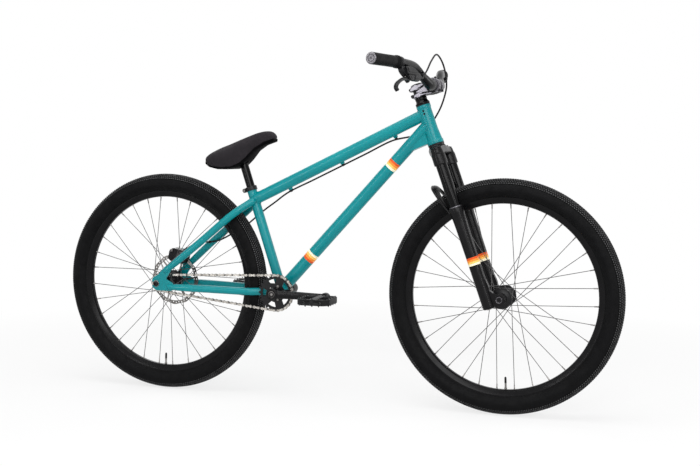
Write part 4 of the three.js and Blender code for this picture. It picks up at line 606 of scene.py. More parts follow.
# Adds a dome to each end of a line and its radii.
def domed(line, radius, steps=5, depth=1.0):
    line = np.asarray(line, dtype=float)
    radii = np.broadcast_to(np.asarray(radius, dtype=float), (len(line),)).copy()
    head, tail = unit(line[0] - line[1]), unit(line[-1] - line[-2])
    angles = np.linspace(math.pi / 2 * 0.96, 0, steps, endpoint=False)
    before = [line[0] + head * radii[0] * depth * (math.sin(a)) for a in angles]
    after = [line[-1] + tail * radii[-1] * depth * (math.sin(a)) for a in angles[::-1]]
    small = [radii[0] * math.cos(a) for a in angles]
    last = [radii[-1] * math.cos(a) for a in angles[::-1]]
    return np.array([*before, *line, *after]), np.array([*small, *radii, *last])


def straight(start, end, steps=1):
    return np.linspace(start, end, steps + 1)


# Where lines parallel to a tube meet another round tube, given as (point, direction, radius).
def meeting(points, direction, other, entering):
    point, axis, radius = other
    axis = unit(axis)
    away = points - point
    away = away - np.outer(away @ axis, axis)
    run = direction - (direction @ axis) * axis
    a, b = run @ run, away @ run
    c = np.sum(away * away, axis=1) - radius ** 2
    reach = b * b - a * c
    root = np.sqrt(np.maximum(reach, 0))
    t = (-b - root) / a if entering else (-b + root) / a
    return points + np.outer(t, direction)


# A straight tube whose ends are cut to lie on the tubes that it joins.
def mitredTube(start, end, radius, startCut=None, endCut=None, sides=48):
    direction = unit(end - start)
    across = unit(np.cross(direction, leftward if abs(direction[1]) < 0.9 else upward))
    other = np.cross(direction, across)
    angles = roundAngles(sides)
    wide, high = polar(radius, angles)
    ring = np.outer(wide, across) + np.outer(high, other)
    first = meeting(ring + start, direction, startCut, False) if startCut else ring + start
    last = meeting(ring + start, direction, endCut, True) if endCut else ring + end
    return skin([first, last]), first, last


weldLook = {"radius": 2.1, "ripple": 0.16, "ripplePitch": 3.2, "sides": 10}


def weld(ring):
    closedRing = np.vstack([ring, ring[:1]])
    length = np.sum(np.linalg.norm(np.diff(closedRing, axis=0), axis=1))
    ripples = max(int(length / weldLook["ripplePitch"]), 6)
    line = evenly(closedRing, ripples * 4)[:-1]
    phase = np.arange(len(line)) / 4 * 2 * math.pi
    radii = weldLook["radius"] * (1 + weldLook["ripple"] * np.cos(phase))
    return tube(line, radii, weldLook["sides"], looped=True)


# A socket-head bolt standing on local Z = 0.
def socketBolt(radius, height, keyRadius, depth=None, edge=0.5):
    depth = depth if depth is not None else height * 0.6
    angles = roundAngles(24)
    hexed = keyRadius / np.cos((angles % (math.pi / 3)) - math.pi / 6)
    soft = edge * 0.3
    head = [(radius, 0), (radius, height - edge), (radius - soft, height - soft), (radius - edge, height)]
    key = [(hexed * 1.04, height), (hexed, height - depth)]
    return skin([levelRing(out, angles, level) for out, level in head + key])


def movedBy(shape, where):
    return setInto(where, shape[0]), shape[1]


# Builds one object, riding on a body. Each part is a shape, the name of its finish and any
# settings that it stands in, the innermost first.
def piece(name, body, parts, node=None, sharp=38, bevel=0):
    data = bpy.data.meshes.new(name)
    corners, faces, used, indices = [], [], [], []
    start = 0
    for shape, finish, *settings in parts:
        for where in settings:
            shape = movedBy(shape, where)
        if finish not in used:
            used.append(finish)
        corners.append(shape[0])
        faces.extend(tuple(i + start for i in face) for face in shape[1])
        indices.extend([used.index(finish)] * len(shape[1]))
        start += len(shape[0])
    data.from_pydata((np.concatenate(corners) * mm).tolist(), [], faces)
    for finish in used:
        data.materials.append(finishes[finish])
    data.polygons.foreach_set("material_index", indices)
    build = bmesh.new()
    build.from_mesh(data)
    bmesh.ops.remove_doubles(build, verts=build.verts, dist=0.00002)
    bmesh.ops.recalc_face_normals(build, faces=build.faces)
    limit = math.radians(sharp)
    for edge in build.edges:
        joined = edge.link_faces
        edge.smooth = len(joined) == 2 and joined[0].normal.angle(joined[1].normal, 0) < limit
    for face in build.faces:
        face.smooth = True
    build.to_mesh(data)
    build.free()
    made = newObject(name, data)
    if bevel:
        soften = made.modifiers.new("edges", "BEVEL")
        soften.width = bevel * mm
        soften.segments = 2
        soften.limit_method = "ANGLE"
        soften.angle_limit = math.radians(sharp)
    if node:
        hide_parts(node)
    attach(made, body)
    return made


# Camera: the photograph's angle, from the right and a little ahead

cameraLook = {
    "place": (1.0519, -2.9856, 0.7369),
    "right": (0.9499, 0.3126, 0.0063),
    "up": (-0.0293, 0.0691, 0.9972),
    "lens": 55.24,
}


def makeCamera():
    data = bpy.data.cameras.new("camera")
    data.lens = cameraLook["lens"]
    data.sensor_width = 36
    camera = newObject("camera", data)
    right = Vector(cameraLook["right"]).normalized()
    back = right.cross(Vector(cameraLook["up"])).normalized()
    up = back.cross(right)
    turn = Matrix((right, up, back)).transposed().to_4x4()
    camera.matrix_world = Matrix.Translation(cameraLook["place"]) @ turn
    bpy.context.scene.camera = camera


makeCamera()
print("camera set")


# Brake hose: its points are the route in the part's source, from the rear axle and the floor

leverSizes = {
    "clampSpread": 244,
    "clampRadius": 15.5,
    "clampHalfWidth": 6,
    "masterDrop": 37,
    "masterRadius": 10,
    "masterStart": 16,
    "masterEnd": 92,
    "reservoirRadius": 12.5,
    "reservoirStart": 46,
    "reservoirEnd": 84,
    "pivotInboard": 28,
    "pivotDrop": 44,
    "spigotLength": 10,
    "spigotRadius": 4,
    "bladeReach": 91,
    "bladeDrop": 38,
    "bladeRoot": 6,
    "bladeHalfThickness": 4.2,
    "bladeHalfHeight": 6.2,
}
barSizes = {
    "clampHeight": 156.6,
    "reach": 49.6,
    "clampRadius": 15.9,
    "radius": 11.1,
    "gripSpread": 255,
    "endSpread": 388,
    "gripOffset": (28.6, 0),
    "gripRise": (57.4, 67),
    "clampStraight": 50,
    "taperEnd": 118,
}


# A point of the bar's straight grip part, in the steering setting.
def barPoint(spread):
    share = (spread - barSizes["gripSpread"]) / (barSizes["endSpread"] - barSizes["gripSpread"])
    offset = barSizes["gripOffset"][0] + (barSizes["gripOffset"][1] - barSizes["gripOffset"][0]) * share
    rise = barSizes["gripRise"][0] + (barSizes["gripRise"][1] - barSizes["gripRise"][0]) * share
    return place(offset, spread, barSizes["clampHeight"] + rise)


acrossBike = place(1, -1, 1)  # times a point of the left half gives its place on the right


def makeLeverSetting():
    origin = barPoint(leverSizes["clampSpread"]) * acrossBike
    inboard = unit((barPoint(barSizes["gripSpread"]) - barPoint(barSizes["endSpread"])) * acrossBike)
    back = unit(np.cross(upward, inboard))
    up = np.cross(inboard, back)
    turn = steerSetting[1]
    return setting(setInto(steerSetting, origin), inboard @ turn, back @ turn, up @ turn)


leverSetting = makeLeverSetting()

hoseSizes = {
    "radius": 2.5,
    "portSpread": 56,
    "portFrom": (30, 91),
    "portEnd": (42, 99),
    "lead": 10,
    "gap": 0.3,
    "bendStart": (341, -45, 1010),
    "bendDirection": (-0.3, 0.8, -0.5),
    "bendRun": 188,
    "steps": 420,  # a multiple of three, because the cord's path takes every third point
}
hoseRoute = [
    (848, -131, 944), (852, -108, 962), (857, -80, 990), (863, -45, 1010), (870, -8, 993),
    (875, 14, 962), (876, 25, 926), (870, 30, 900), (858, 31, 866), (840, 32, 834), (821, 31, 807),
    (797, 25, 789), (768, 14, 782), (724, 8, 772.1), (640, 8, 731.7), (563, 8, 694.7),
    (480, 8, 654.8), (400, 8, 616.4), (355, 14, 586), (319, 20, 562), (283, 23, 534),
    (262, 30, 519), (240, 37, 506), (201, 45, 485), (158, 40, 463), (129, 36, 457.5),
    (112, 36.5, 457), (90, 43, 456), (70, 50, 448),
]


# The two ends of the caliper's hose fitting.
def hosePort():
    spread = hoseSizes["portSpread"]
    ends = hoseSizes["portFrom"], hoseSizes["portEnd"]
    return [fromRear(reach, spread, rise) for reach, rise in ends]


def hoseLine():
    gap, lead = hoseSizes["gap"], hoseSizes["lead"]
    spigotEnd = leverSizes["masterEnd"] + leverSizes["spigotLength"]
    first, second = (place(spigotEnd + beyond, 0, -leverSizes["masterDrop"]) for beyond in (gap, lead))
    route = [place(rearAxle[0] + x, y, z) for x, y, z in hoseRoute]
    portFrom, portEnd = hosePort()
    out = unit(portEnd - portFrom)
    ends = [portEnd + out * lead, portEnd + out * gap]
    starts = [setInto(leverSetting, first), setInto(leverSetting, second)]
    return smoothLine([*starts, *route, *ends], hoseSizes["steps"])


def makeHose():
    line = hoseLine()
    body = tube(line, hoseSizes["radius"], 14)
    hose = piece("brakeHose", "frame", [(body, "hose")], "brake_hose")
    world = hose.matrix_world.copy()
    hose.parent = None
    hose.matrix_world = world
    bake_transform(hose)


# Finishes of this bike

downTubeFoot = bracket + place(0, 0, 7)
downTubeHead = headTop - steerUp * 55
downTubeRun = unit(downTubeHead - downTubeFoot)


# Where each set of stripes starts with its red band and ends with its cream one.
stripePlaces = {"upper": (521, 495), "lower": (124, 152), "fork": (-336, -359)}


def stripes(placeName):
    first, last = stripePlaces[placeName]
    tints = [stripeTints[name] for name in ("red", "orange", "yellow", "cream")]
    steps = len(tints)
    ends = [first + (last - first) * i / steps for i in range(steps + 1)]
    if last < first:
        ends, tints = ends[::-1], tints[::-1]
    return [(ends[i], tints[i]) for i in range(steps)] + [(ends[-1], tints[-1])]


def makeFinishes():
    tubeBands = [(downTubeFoot, downTubeRun, stripes(name)) for name in ("upper", "lower")]
    legBands = [(headFoot, steerUp, stripes("fork"))]
    return {
        "teal": makeTealPaint("tealPaint"),
        "downTube": makeTealPaint("tealPaintWithStripes", tubeBands),
        "black": makeDark("blackPaint", "paint"),
        "leg": makeDark("forkLegPaint", "paint", legBands),
        "anodised": makeDark("blackAnodised", "anodised"),
        "sleeve": makeDark("polishedSleeve", "sleeve"),
        "spoke": makeDark("darkSpoke", "spoke"),
        "plastic": makeDark("mouldedPlastic", "plastic"),
        "stem": makeMetal("greyAnodised", "stem"),
        "chain": makeMetal("chainSteel", "chain"),
        "bolt": makeMetal("boltSteel", "bolt"),
        "disc": makeMetal("discSteel", "disc"),
        "rearTyre": makeRubber("rearTyreRubber", rearAxle),
        "frontTyre": makeRubber("frontTyreRubber", frontAxle),
        "rim": makeDark("rimBlack", "rim"),
        "under": makeDark("saddleUnderside", "under"),
        # Painted highlight on the tread's blocks, and painted shade in its grooves.
        "tread": makeRubber("treadRubberPaintedHighlight", shades=("treadPaintedHighlight", "treadPaintedHighlightPale")),
        "groove": makeRubber("treadGroovePaintedShade", shades=("groove", "dark")),
        "faceplate": makeMetal("faceplateGrey", "faceplate"),
        # Darker chain steel: painted shade on the inner plates and rollers.
        "link": makeMetal("chainInnerLinkPaintedShade", "link"),
        "rubber": makeRubber("gripRubber"),
        "hose": makeDark("hoseCover", "paint"),
        "cap": makeMetal("gripCapGrey", "cap"),
        "fabric": makeFabric("saddleFabric"),
    }


finishes = makeFinishes()
makeHose()
print("finishes and hose made")


# Frame

tubeSizes = {
    "headRadius": 19.5,
    "headTopLip": (20.8, 7),
    "headBottomLip": (23.8, 9),
    "headFlare": 42,
    "headBore": 16.5,
    "topRadius": 17.2,
    "topHeadDrop": 25,
    "topSeatDrop": 32,
    "downRadius": 18.2,
    "seatRadius": 14.6,
    "seatBore": 13.4,
    "seatBoreDepth": 60,
    "ventHeights": (98, 89.5),
    "shellRadius": 21.5,
    "shellBore": 18.5,
    "shellHalfWidth": 34,
    "stayRadius": 11.1,
    "stayTipRadius": 8.4,
}


def makeHeadTube():
    length = bikeLayout["headTubeLength"]
    topRadius, topHeight = tubeSizes["headTopLip"]
    footRadius, footHeight = tubeSizes["headBottomLip"]
    radius = tubeSizes["headRadius"]
    outline = [
        (tubeSizes["headBore"], 0),
        (footRadius, 0), (footRadius, footHeight), (footRadius - 1.6, footHeight + 2),
        (radius, tubeSizes["headFlare"]), (radius, length - topHeight * 1.5),
        (topRadius, length - topHeight), (topRadius, length), (tubeSizes["headBore"], length),
    ]
    shapes = [(turned(outline, 72, 1.0), "teal", steerSetting)]
    # Each vent is a small dark disc on the tube: painted shade in place of the vent's hole.
    for height in tubeSizes["ventHeights"]:
        where = settingAlong(setInto(steerSetting, place(-0.5, -radius, height)), -leftward)
        vent = lathe([(0, 0.3), (2.2, 0.3), (2.6, 0.5), (3, 0.2), (3, -1)], 20)
        shapes.append((vent, "plastic", where))
    piece("headTube", "frame", shapes, "head_tube")


topTubeHead = headTop - steerUp * tubeSizes["topHeadDrop"]
topTubeSeat = seatTop - seatUp * tubeSizes["topSeatDrop"]
headCut = (headFoot, steerUp, tubeSizes["headRadius"] - 0.6)
seatCut = (bracket, seatUp, tubeSizes["seatRadius"] - 0.6)
shellCut = (bracket, leftward, tubeSizes["shellRadius"] - 0.6)


def makeMainTubes():
    top, topFoot, topEnd = mitredTube(topTubeSeat, topTubeHead, tubeSizes["topRadius"], seatCut, headCut)
    shapes = [(top, "teal"), (weld(topEnd), "teal"), (weld(topFoot), "teal")]
    piece("topTube", "frame", shapes + hoseClips(), "top_tube")
    radius = tubeSizes["downRadius"]
    down, downFoot, downEnd = mitredTube(downTubeFoot, downTubeHead, radius, shellCut, headCut)
    welds = [(weld(downFoot), "downTube"), (weld(downEnd), "downTube")]
    piece("downTube", "frame", [(down, "downTube"), *welds], "down_tube")


clipSizes = {"reaches": (724, 563, 400), "side": 8, "hoseDrop": 24.2, "length": 12, "wall": 1.4}


def hoseClips():
    run = unit(topTubeHead - topTubeSeat)
    down = unit(np.cross(run, leftward))
    down = down if down[2] < 0 else -down
    made = []
    for reach in clipSizes["reaches"]:
        share = (rearAxle[0] + reach - topTubeSeat[0]) / run[0]
        middle = topTubeSeat + run * share + leftward * clipSizes["side"]
        half = clipSizes["length"] / 2
        foot = setting(middle, run, leftward, -down)
        low = (-half, -2.6, -clipSizes["hoseDrop"] + hoseSizes["radius"])
        lug = block(low, (half, 2.6, -tubeSizes["topRadius"] / 2))
        made.append((lug, "teal", foot))
        centre = middle + down * clipSizes["hoseDrop"]
        inner, outer = hoseSizes["radius"] + 0.1, hoseSizes["radius"] + clipSizes["wall"]
        end = half * 0.55
        ring = sleeve(inner, outer, -end, end, 24, 0.4)
        made.append((ring, "plastic", settingAlong(centre, run)))
    return made


gussetSizes = {"halfWidth": 14, "reach": 92, "toeRise": 3, "heelRise": 7, "topRise": 58, "edge": 2.4}


def makeGusset():
    heel = headFoot + steerUp * gussetSizes["heelRise"] - steerForward * (tubeSizes["headRadius"] - 2)
    toe = headFoot + steerUp * gussetSizes["toeRise"] - steerForward * gussetSizes["reach"]
    top = headFoot + steerUp * gussetSizes["topRise"] - steerForward * (tubeSizes["headRadius"] - 2)
    outline = rounded([(p[0], p[2]) for p in (heel, toe, top)], 4)
    half = gussetSizes["halfWidth"]
    shapes = [(plate(outline, -half, half), "teal", sideOn())]
    for edge in (-1, 1):
        seam = [toe + (top - toe) * 0.06, toe + (top - toe) * 0.9]
        line = np.array([p + leftward * edge * (half + 0.1) + steerUp * 1.2 for p in seam])
        shapes.append((tube(*domed(straight(line[0], line[1], 8), 1.3), 10), "teal"))
    piece("headGusset", "frame", shapes, "head_gusset", bevel=gussetSizes["edge"])


def makeSeatTube():
    length = bikeLayout["seatTubeLength"]
    radius, bore, depth = tubeSizes["seatRadius"], tubeSizes["seatBore"], tubeSizes["seatBoreDepth"]
    floor = length - depth
    outline = [(0, 12), (radius, 12), (radius, length), (bore, length), (bore, floor), (0, floor)]
    shape = lathe(rounded(outline, 0.5, 3, False), 56)
    root = setInto(seatSetting, [(p[0], p[1], 40) for p in circlePoints((0, 0), radius, 40)])
    rootWeld = weld(meeting(root, -seatUp, shellCut, True))
    shapes = [(shape, "teal", seatSetting), (rootWeld, "teal")]
    piece("seatTube", "frame", shapes, "seat_tube")
    inner, outer, half = tubeSizes["shellBore"], tubeSizes["shellRadius"], tubeSizes["shellHalfWidth"]
    shell = sleeve(inner, outer, -half, half, 64, 1.0)
    shapes = [(shell, "teal", sideOn(bracket))]
    piece("bracketShell", "frame", shapes, "bottom_bracket_shell")


staySizes = {
    "seatTop": (17, 36),
    "seatBend": (246, 45, 218),
    "seatMiddle": (129, 52, 122),
    "seatEnd": (31, 70.5, 40),
    "chainRoot": 24,
    "chainTyre": (330, 33),
    "chainBend": (292, 47),
    "chainMiddle": (170, 59),
    "chainEnd": (42, 70.5, -9),
}


def seatstayLine(side):
    spread, drop = staySizes["seatTop"]
    top = seatTop - seatUp * drop
    points = [place(top[0], side * spread, top[2])]
    for reach, out, rise in (staySizes["seatBend"], staySizes["seatMiddle"], staySizes["seatEnd"]):
        points.append(fromRear(reach, side * out, rise))
    return smoothLine(points, 60)


def chainstayLine(side):
    reach, spread, drop = staySizes["chainEnd"]
    points = [place(bracket[0], side * staySizes["chainRoot"], bracket[2])]
    for key in ("chainTyre", "chainBend"):
        points.append(fromRear(staySizes[key][0], side * staySizes[key][1], -bracketDrop))
    middle = staySizes["chainMiddle"]
    points.append(fromRear(middle[0], side * middle[1], -(bracketDrop - drop) / 2))
    points.append(fromRear(reach, side * spread, drop))
    return smoothLine(points, 60)


def stayShape(line, tipFrom=0.78):
    share = np.linspace(0, 1, len(line))
    ease = np.clip((share - tipFrom) / (1 - tipFrom), 0, 1)
    radii = tubeSizes["stayRadius"] + (tubeSizes["stayTipRadius"] - tubeSizes["stayRadius"]) * ease ** 2
    return tube(*domed(line, radii, 6, 0.8), 32)


def makeStays():
    for name, side in bothSides:
        seatShapes = [(stayShape(seatstayLine(side)), "teal")]
        if side > 0:
            seatShapes += stayClip()
        title = name.capitalize()
        piece("seatstay" + title, "frame", seatShapes, "seatstay_" + name)
        shape = stayShape(chainstayLine(side))
        piece("chainstay" + title, "frame", [(shape, "teal")], "chainstay_" + name)


stayClipSizes = {"reach": 129, "rise": 124, "inner": 38.5, "outer": 44, "half": 6}


def stayClip():
    middle = fromRear(stayClipSizes["reach"], 0, stayClipSizes["rise"])
    half = stayClipSizes["half"]
    low = (-half, stayClipSizes["inner"], -3.4)
    lug = movedBy(block(low, (half, stayClipSizes["outer"], 3.4)), setting(middle))
    ring = sleeve(2.6, 4.0, -3, 3, 24, 0.4)
    hosePoint = place(middle[0], 36, 457.5)
    return [(lug, "teal"), (ring, "plastic", settingAlong(hosePoint, forward))]


dropoutSizes = {
    "inner": 67.5,
    "thickness": 6,
    "rearReach": 14,
    "shoulder": ((-14, 12), (-8, 21), (7, 27), (20, 43)),
    "footDrop": 21,
    "slotRadius": 5.2,
    "stayOverlap": 14,
    "mount": (14, 97, 18),
    "boltHead": (7.6, 6),
}


def dropoutOutline(side):
    endReach, _, endRise = staySizes["seatEnd"]
    middleReach, _, middleRise = staySizes["seatMiddle"]
    lean = math.atan2(middleRise - endRise, middleReach - endReach)
    overlap, stay = dropoutSizes["stayOverlap"], tubeSizes["stayRadius"]
    tip = np.array([endReach + overlap * math.cos(lean), endRise + overlap * math.sin(lean)])
    across = np.array([-stay * math.sin(lean), stay * math.cos(lean)])
    chainTip, chainDrop = staySizes["chainEnd"][0] + overlap, staySizes["chainEnd"][2]
    rear = dropoutSizes["rearReach"]
    slot = arcPoints((0, 0), dropoutSizes["slotRadius"], -90, 90, 12)
    back = [(-rear, dropoutSizes["slotRadius"]), *dropoutSizes["shoulder"]]
    reach, rise, width = dropoutSizes["mount"]
    mount = [(reach - width, rise), (reach + width / 2, rise)] if side > 0 else []
    foot = [
        (chainTip, chainDrop + stay),
        (chainTip, chainDrop - stay),
        (0, -dropoutSizes["footDrop"]),
        (-rear, -dropoutSizes["footDrop"] / 2),
        (-rear, -dropoutSizes["slotRadius"]),
    ]
    crotch = (staySizes["chainEnd"][0] - stay, (endRise + chainDrop) / 2)
    curved = rounded([*back, *mount, tip + across, tip - across, crotch, *foot], 6, 5, False)
    return curved + list(slot)


def makeDropouts():
    inner, outer = dropoutSizes["inner"], dropoutSizes["inner"] + dropoutSizes["thickness"]
    for name, side in bothSides:
        shapes = [(sidePlate(dropoutOutline(side), side, inner, outer), "teal", sideOn(rearAxle))]
        title = name.capitalize()
        piece("dropout" + title, "frame", shapes, "dropout_" + name, bevel=1.0)
        face = rearAxle + leftward * side * (outer + 0.2)
        out = settingAlong(face, leftward * side)
        radius, height = dropoutSizes["boltHead"]
        washer = sleeve(5, radius + 2.2, 0, 1.4, 40, 0.3)
        head = movedBy(socketBolt(radius, height, 3.4, 4), out)
        bolt = [(washer, "bolt", out), (head, "anodised")]
        piece("axleBolt" + title, "frame", bolt, "axle_bolt_" + name)


def makeRearAxle():
    end = dropoutSizes["inner"] - 0.3
    outline = [(0, -end), (12, -end), (12, -end + 6), (7, -end + 6)]
    threads = [(7 - 0.35 * (i % 2), -end + 7 + i * 0.7) for i in range(int((2 * end - 14) / 0.7))]
    outline += threads + [(7, end - 6), (12, end - 6), (12, end), (0, end)]
    shape = movedBy(lathe(outline, 32), sideOn(rearAxle))
    piece("rearAxle", "frame", [(shape, "bolt")], "rear_axle")


def makeHeadset():
    length = bikeLayout["headTubeLength"]
    low, high = length + 0.3, length + 3.3
    upper = turned([(15, low), (20.8, low), (20.2, high), (15, high)], 64, 0.6)
    lower = turned([(15, -0.3), (23.8, -0.3), (23.4, -4), (22.4, -8), (15, -8)], 64, 0.6)
    for name, shape in (("upper", upper), ("lower", lower)):
        cup = (shape, "anodised", steerSetting)
        piece(name + "Cup", "frame", [cup], "headset_" + name + "_cup")


def makeBearings():
    for name, side in bothSides:
        where = settingAlong(bracket, leftward * side)
        half = tubeSizes["shellHalfWidth"]
        cup = [(10.5, -9), (18, -9), (18, 0.3), (21.4, 0.3), (20.6, 4), (10.5, 4)]
        cup = turned([(out, half + past) for out, past in cup], 56, 0.6)
        shapes = [(cup, "anodised", where)]
        node = "bottom_bracket_bearing_" + name
        piece("bracketBearing" + name.capitalize(), "frame", shapes, node)


makeHeadTube()
makeMainTubes()
makeGusset()
makeSeatTube()
makeStays()
makeDropouts()
makeRearAxle()
makeHeadset()
makeBearings()
print("frame made")


# Seat

seatSizes = {
    "postRadius": 12.7,
    "postTop": 418,
    "postFoot": 190,
    "collarRadius": 17.6,
    "collarBelow": 4,
    "collarAbove": 9,
    "reach": 144.5,
    "length": 222.5,
    "height": 687.5,
    "rise": 114,
    "halfWidth": 66,
    "baseDrop": 4,
}
# Stations from tail to nose: shares of the length, half width, bottom rise and top rise.
saddleShares = [
    (0, 0.48, 0.2, 0.27), (0.03, 0.72, 0.13, 0.33), (0.1, 0.92, 0.06, 0.42), (0.22, 1, 0.01, 0.52),
    (0.36, 0.98, 0.01, 0.62), (0.48, 0.86, 0.07, 0.72), (0.6, 0.62, 0.25, 0.82),
    (0.72, 0.45, 0.5, 0.91), (0.84, 0.37, 0.65, 0.98), (0.93, 0.33, 0.71, 0.99),
    (0.98, 0.3, 0.74, 0.93), (1, 0.17, 0.77, 0.86),
]
# Half of a section: shares of the half width and of the height from the bottom edge.
sectionShares = [
    (0.88, 0), (0.95, 0.22), (1, 0.5), (0.95, 0.72), (0.8, 0.88), (0.55, 0.965), (0.27, 0.99),
    (0, 1),
]


def saddleRings(inset, stations=40):
    table = smoothLine([(a, b, c) for a, b, c, _ in saddleShares], 200)
    tops = np.interp(table[:, 0], [s[0] for s in saddleShares], [s[3] for s in saddleShares])
    table = np.column_stack([table, tops])
    table = table[np.linspace(0, 200, stations + 1).astype(int)]
    half = smoothLine([(a, b, 0) for a, b in sectionShares], 22)[:, :2]
    around = [(out, up) for out, up in half] + [(-out, up) for out, up in half[::-1][1:]]
    rings = []
    for along, wide, low, high in table:
        x = rearAxle[0] + seatSizes["reach"] + inset + along * (seatSizes["length"] - 2 * inset)
        width = wide * seatSizes["halfWidth"] - inset
        foot = seatSizes["height"] + low * seatSizes["rise"]
        top = seatSizes["height"] + high * seatSizes["rise"] - inset
        rings.append(np.array([(x, out * width, foot + up * (top - foot)) for out, up in around]))
    return rings


padLook = {"voxel": 4.5, "pressure": 4.0, "frames": 20, "mostMove": 3.0, "inset": 1.6}


def puffed(pad):
    start = np.array([v.co for v in pad.data.vertices], dtype=float)
    cloth = pad.modifiers.new("puff", "CLOTH")
    cloth.settings.use_pressure = True
    cloth.settings.uniform_pressure_force = padLook["pressure"]
    cloth.settings.effector_weights.gravity = 0
    cloth.settings.tension_stiffness = 30
    cloth.point_cache.frame_start = 1
    cloth.point_cache.frame_end = padLook["frames"]
    for step in range(1, padLook["frames"] + 1):
        bpy.context.scene.frame_set(step)
    final = pad.evaluated_get(bpy.context.evaluated_depsgraph_get()).to_mesh()
    end = np.array([v.co for v in final.vertices], dtype=float)
    pad.modifiers.remove(cloth)
    move = end - start
    far = np.linalg.norm(move, axis=1)[:, None]
    most = padLook["mostMove"] * mm
    end = start + move * np.minimum(1, most / np.maximum(far, 1e-9))
    pad.data.vertices.foreach_set("co", end.ravel())
    bpy.context.scene.frame_set(1)


def applied(made, kind, **settings):
    modifier = made.modifiers.new("step", kind)
    for name, value in settings.items():
        setattr(modifier, name, value)
    fresh = bpy.data.meshes.new_from_object(made.evaluated_get(bpy.context.evaluated_depsgraph_get()))
    made.modifiers.clear()
    made.data = fresh


def makeSaddle():
    shapes = [(skin(saddleRings(padLook["inset"])), "fabric")]
    pad = piece("saddlePad", "frame", shapes, "saddle", sharp=80)
    applied(pad, "REMESH", mode="VOXEL", voxel_size=padLook["voxel"] * mm, use_smooth_shade=True)
    puffed(pad)
    applied(pad, "SMOOTH", factor=0.5, iterations=6)
    applied(pad, "SUBSURF", levels=1, render_levels=1)
    for face in pad.data.polygons:
        face.use_smooth = True
    print("saddle padded")


# The moulded shell follows the pad's underside and stands a little inside it.
def makeSaddleBase():
    rings = []
    for along, wide, low, _ in saddleShares[1:11]:
        x = rearAxle[0] + seatSizes["reach"] + along * seatSizes["length"]
        width = wide * seatSizes["halfWidth"] * 0.86
        foot = seatSizes["height"] + low * seatSizes["rise"] - seatSizes["baseDrop"]
        outline = [(-1, 9), (-1, 2), (-0.8, -0.5), (0.8, -0.5), (1, 2), (1, 9)]
        rings.append(np.array([(x, out * width, foot + up) for out, up in outline]))
    shapes = [(skin(rings), "under")]
    top = seatSizes["postTop"]
    socket = [(13, -18), (15.5, -18), (18, -10), (18, 20), (13, 20)]
    socket = turned([(out, top + up) for out, up in socket], 48, 1.2)
    shapes.append((socket, "under", seatSetting))
    for side in (-1, 1):
        for angle in (-28, 0, 28):
            lean = math.radians(angle)
            ahead = 30 * math.cos(lean) * math.sin(lean) * 1.6
            root = setInto(seatSetting, place(0, side * 13, top - 6))
            tip = setInto(seatSetting, place(ahead, side * 38, top + 7))
            shapes.append((tube(*domed(straight(root, tip, 6), 2.2), 10), "under"))
    piece("saddleBase", "frame", shapes, "saddle_base", bevel=1.0)


def makeSeatPost():
    radius, top, foot = seatSizes["postRadius"], seatSizes["postTop"], seatSizes["postFoot"]
    bore = radius - 2.4
    outline = [(0, foot), (radius, foot), (radius, top), (bore, top), (bore, top - 20), (0, top - 20)]
    shape = movedBy(lathe(rounded(outline, 0.6, 3, False), 56), seatSetting)
    piece("seatPost", "frame", [(shape, "sleeve")], "seatpost")


def makeSeatClamp():
    radius = seatSizes["collarRadius"]
    low = bikeLayout["seatTubeLength"] - seatSizes["collarBelow"]
    high = bikeLayout["seatTubeLength"] + seatSizes["collarAbove"]
    inner = tubeSizes["seatRadius"] + 0.2
    ring = [(inner, low), (radius, low), (radius, high - 2), (radius - 1.2, high)]
    ring += [(13, high), (13, high - 2), (inner, high - 3)]
    shapes = [(turned(ring, 56, 0.6), "anodised", seatSetting)]
    middle = (low + high) / 2
    for side in (-1, 1):
        ear = block((-radius - 8, side * 1.2, low + 0.5), (-radius * 0.75, side * 7.5, high - 0.5))
        shapes.append((ear, "anodised", seatSetting))
    bolt = socketBolt(4.3, 5, 2.3, 3)
    for side in (-1, 1):
        where = settingAlong(setInto(seatSetting, place(-radius - 3.6, side * 7.2, middle)), leftward * side)
        shapes.append((bolt, "bolt", where))
    piece("seatClamp", "frame", shapes, "seat_clamp", bevel=0.5)


makeSeatPost()
makeSeatClamp()
makeSaddleBase()
makeSaddle()
print("seat made")


# Wheels

wheelSizes = {
    "tyreRadius": 334,
    "tyreHalfWidth": 29,
    "beadRadius": 284,
    "beadHalfWidth": 12.4,
    "rimRadius": 286,
    "rimDepth": 23,
    "rimHalfWidth": 15.5,
    "rimFloorHalfWidth": 6,
    "spokeRadius": 0.95,
    "spokesPerSide": 16,
    "spokeCrosses": 3,
    "spokeStart": 29.4,
    "spokeEnd": 261.5,
    "rimSpokeSpread": 4,
    "flangeRadius": 30.3,
    "rearFlange": 36,
    "frontFlange": 34,
    "valveRadius": 3,
    "valveLength": 36,
}
treadLook = {
    "around": 1500,
    "rows": 300,
    "depth": 2.3,
    "edgeAngle": 62,
    "slant": 0.24,
    "ringsPerBlock": 4,
    "blocks": 10,
    "beadAngle": 148,
    "wallRings": 9,
    "wallDrop": 0.5,
    "wallRib": 0.7,
    "wallRibAngles": (94, 108),
}


# Small slanted blocks in rows round the tyre: the share of the full height at each point.
def treadHeight(angles, degree, index):
    if index % treadLook["ringsPerBlock"] == 0:
        return np.zeros(len(angles))
    slant = angles * treadLook["rows"] + abs(degree) * treadLook["slant"]
    return np.clip(np.sin(slant) * 1.8 + 1.1, 0, 1)


def tyreRing(angles, degree, height):
    half = wheelSizes["tyreHalfWidth"]
    lean = math.radians(degree)
    out = wheelSizes["tyreRadius"] - half + (half + height) * math.cos(lean)
    level = (half + height) * math.sin(lean)
    return levelRing(out, angles, level)


def wallRings(angles, first, last):
    low, high = treadLook["wallRibAngles"]
    rings = []
    for degree in np.linspace(first, last, treadLook["wallRings"]):
        rib = treadLook["wallRib"] if low < abs(degree) < high else 0.0
        rings.append(tyreRing(angles, degree, rib - treadLook["wallDrop"]))
    return rings


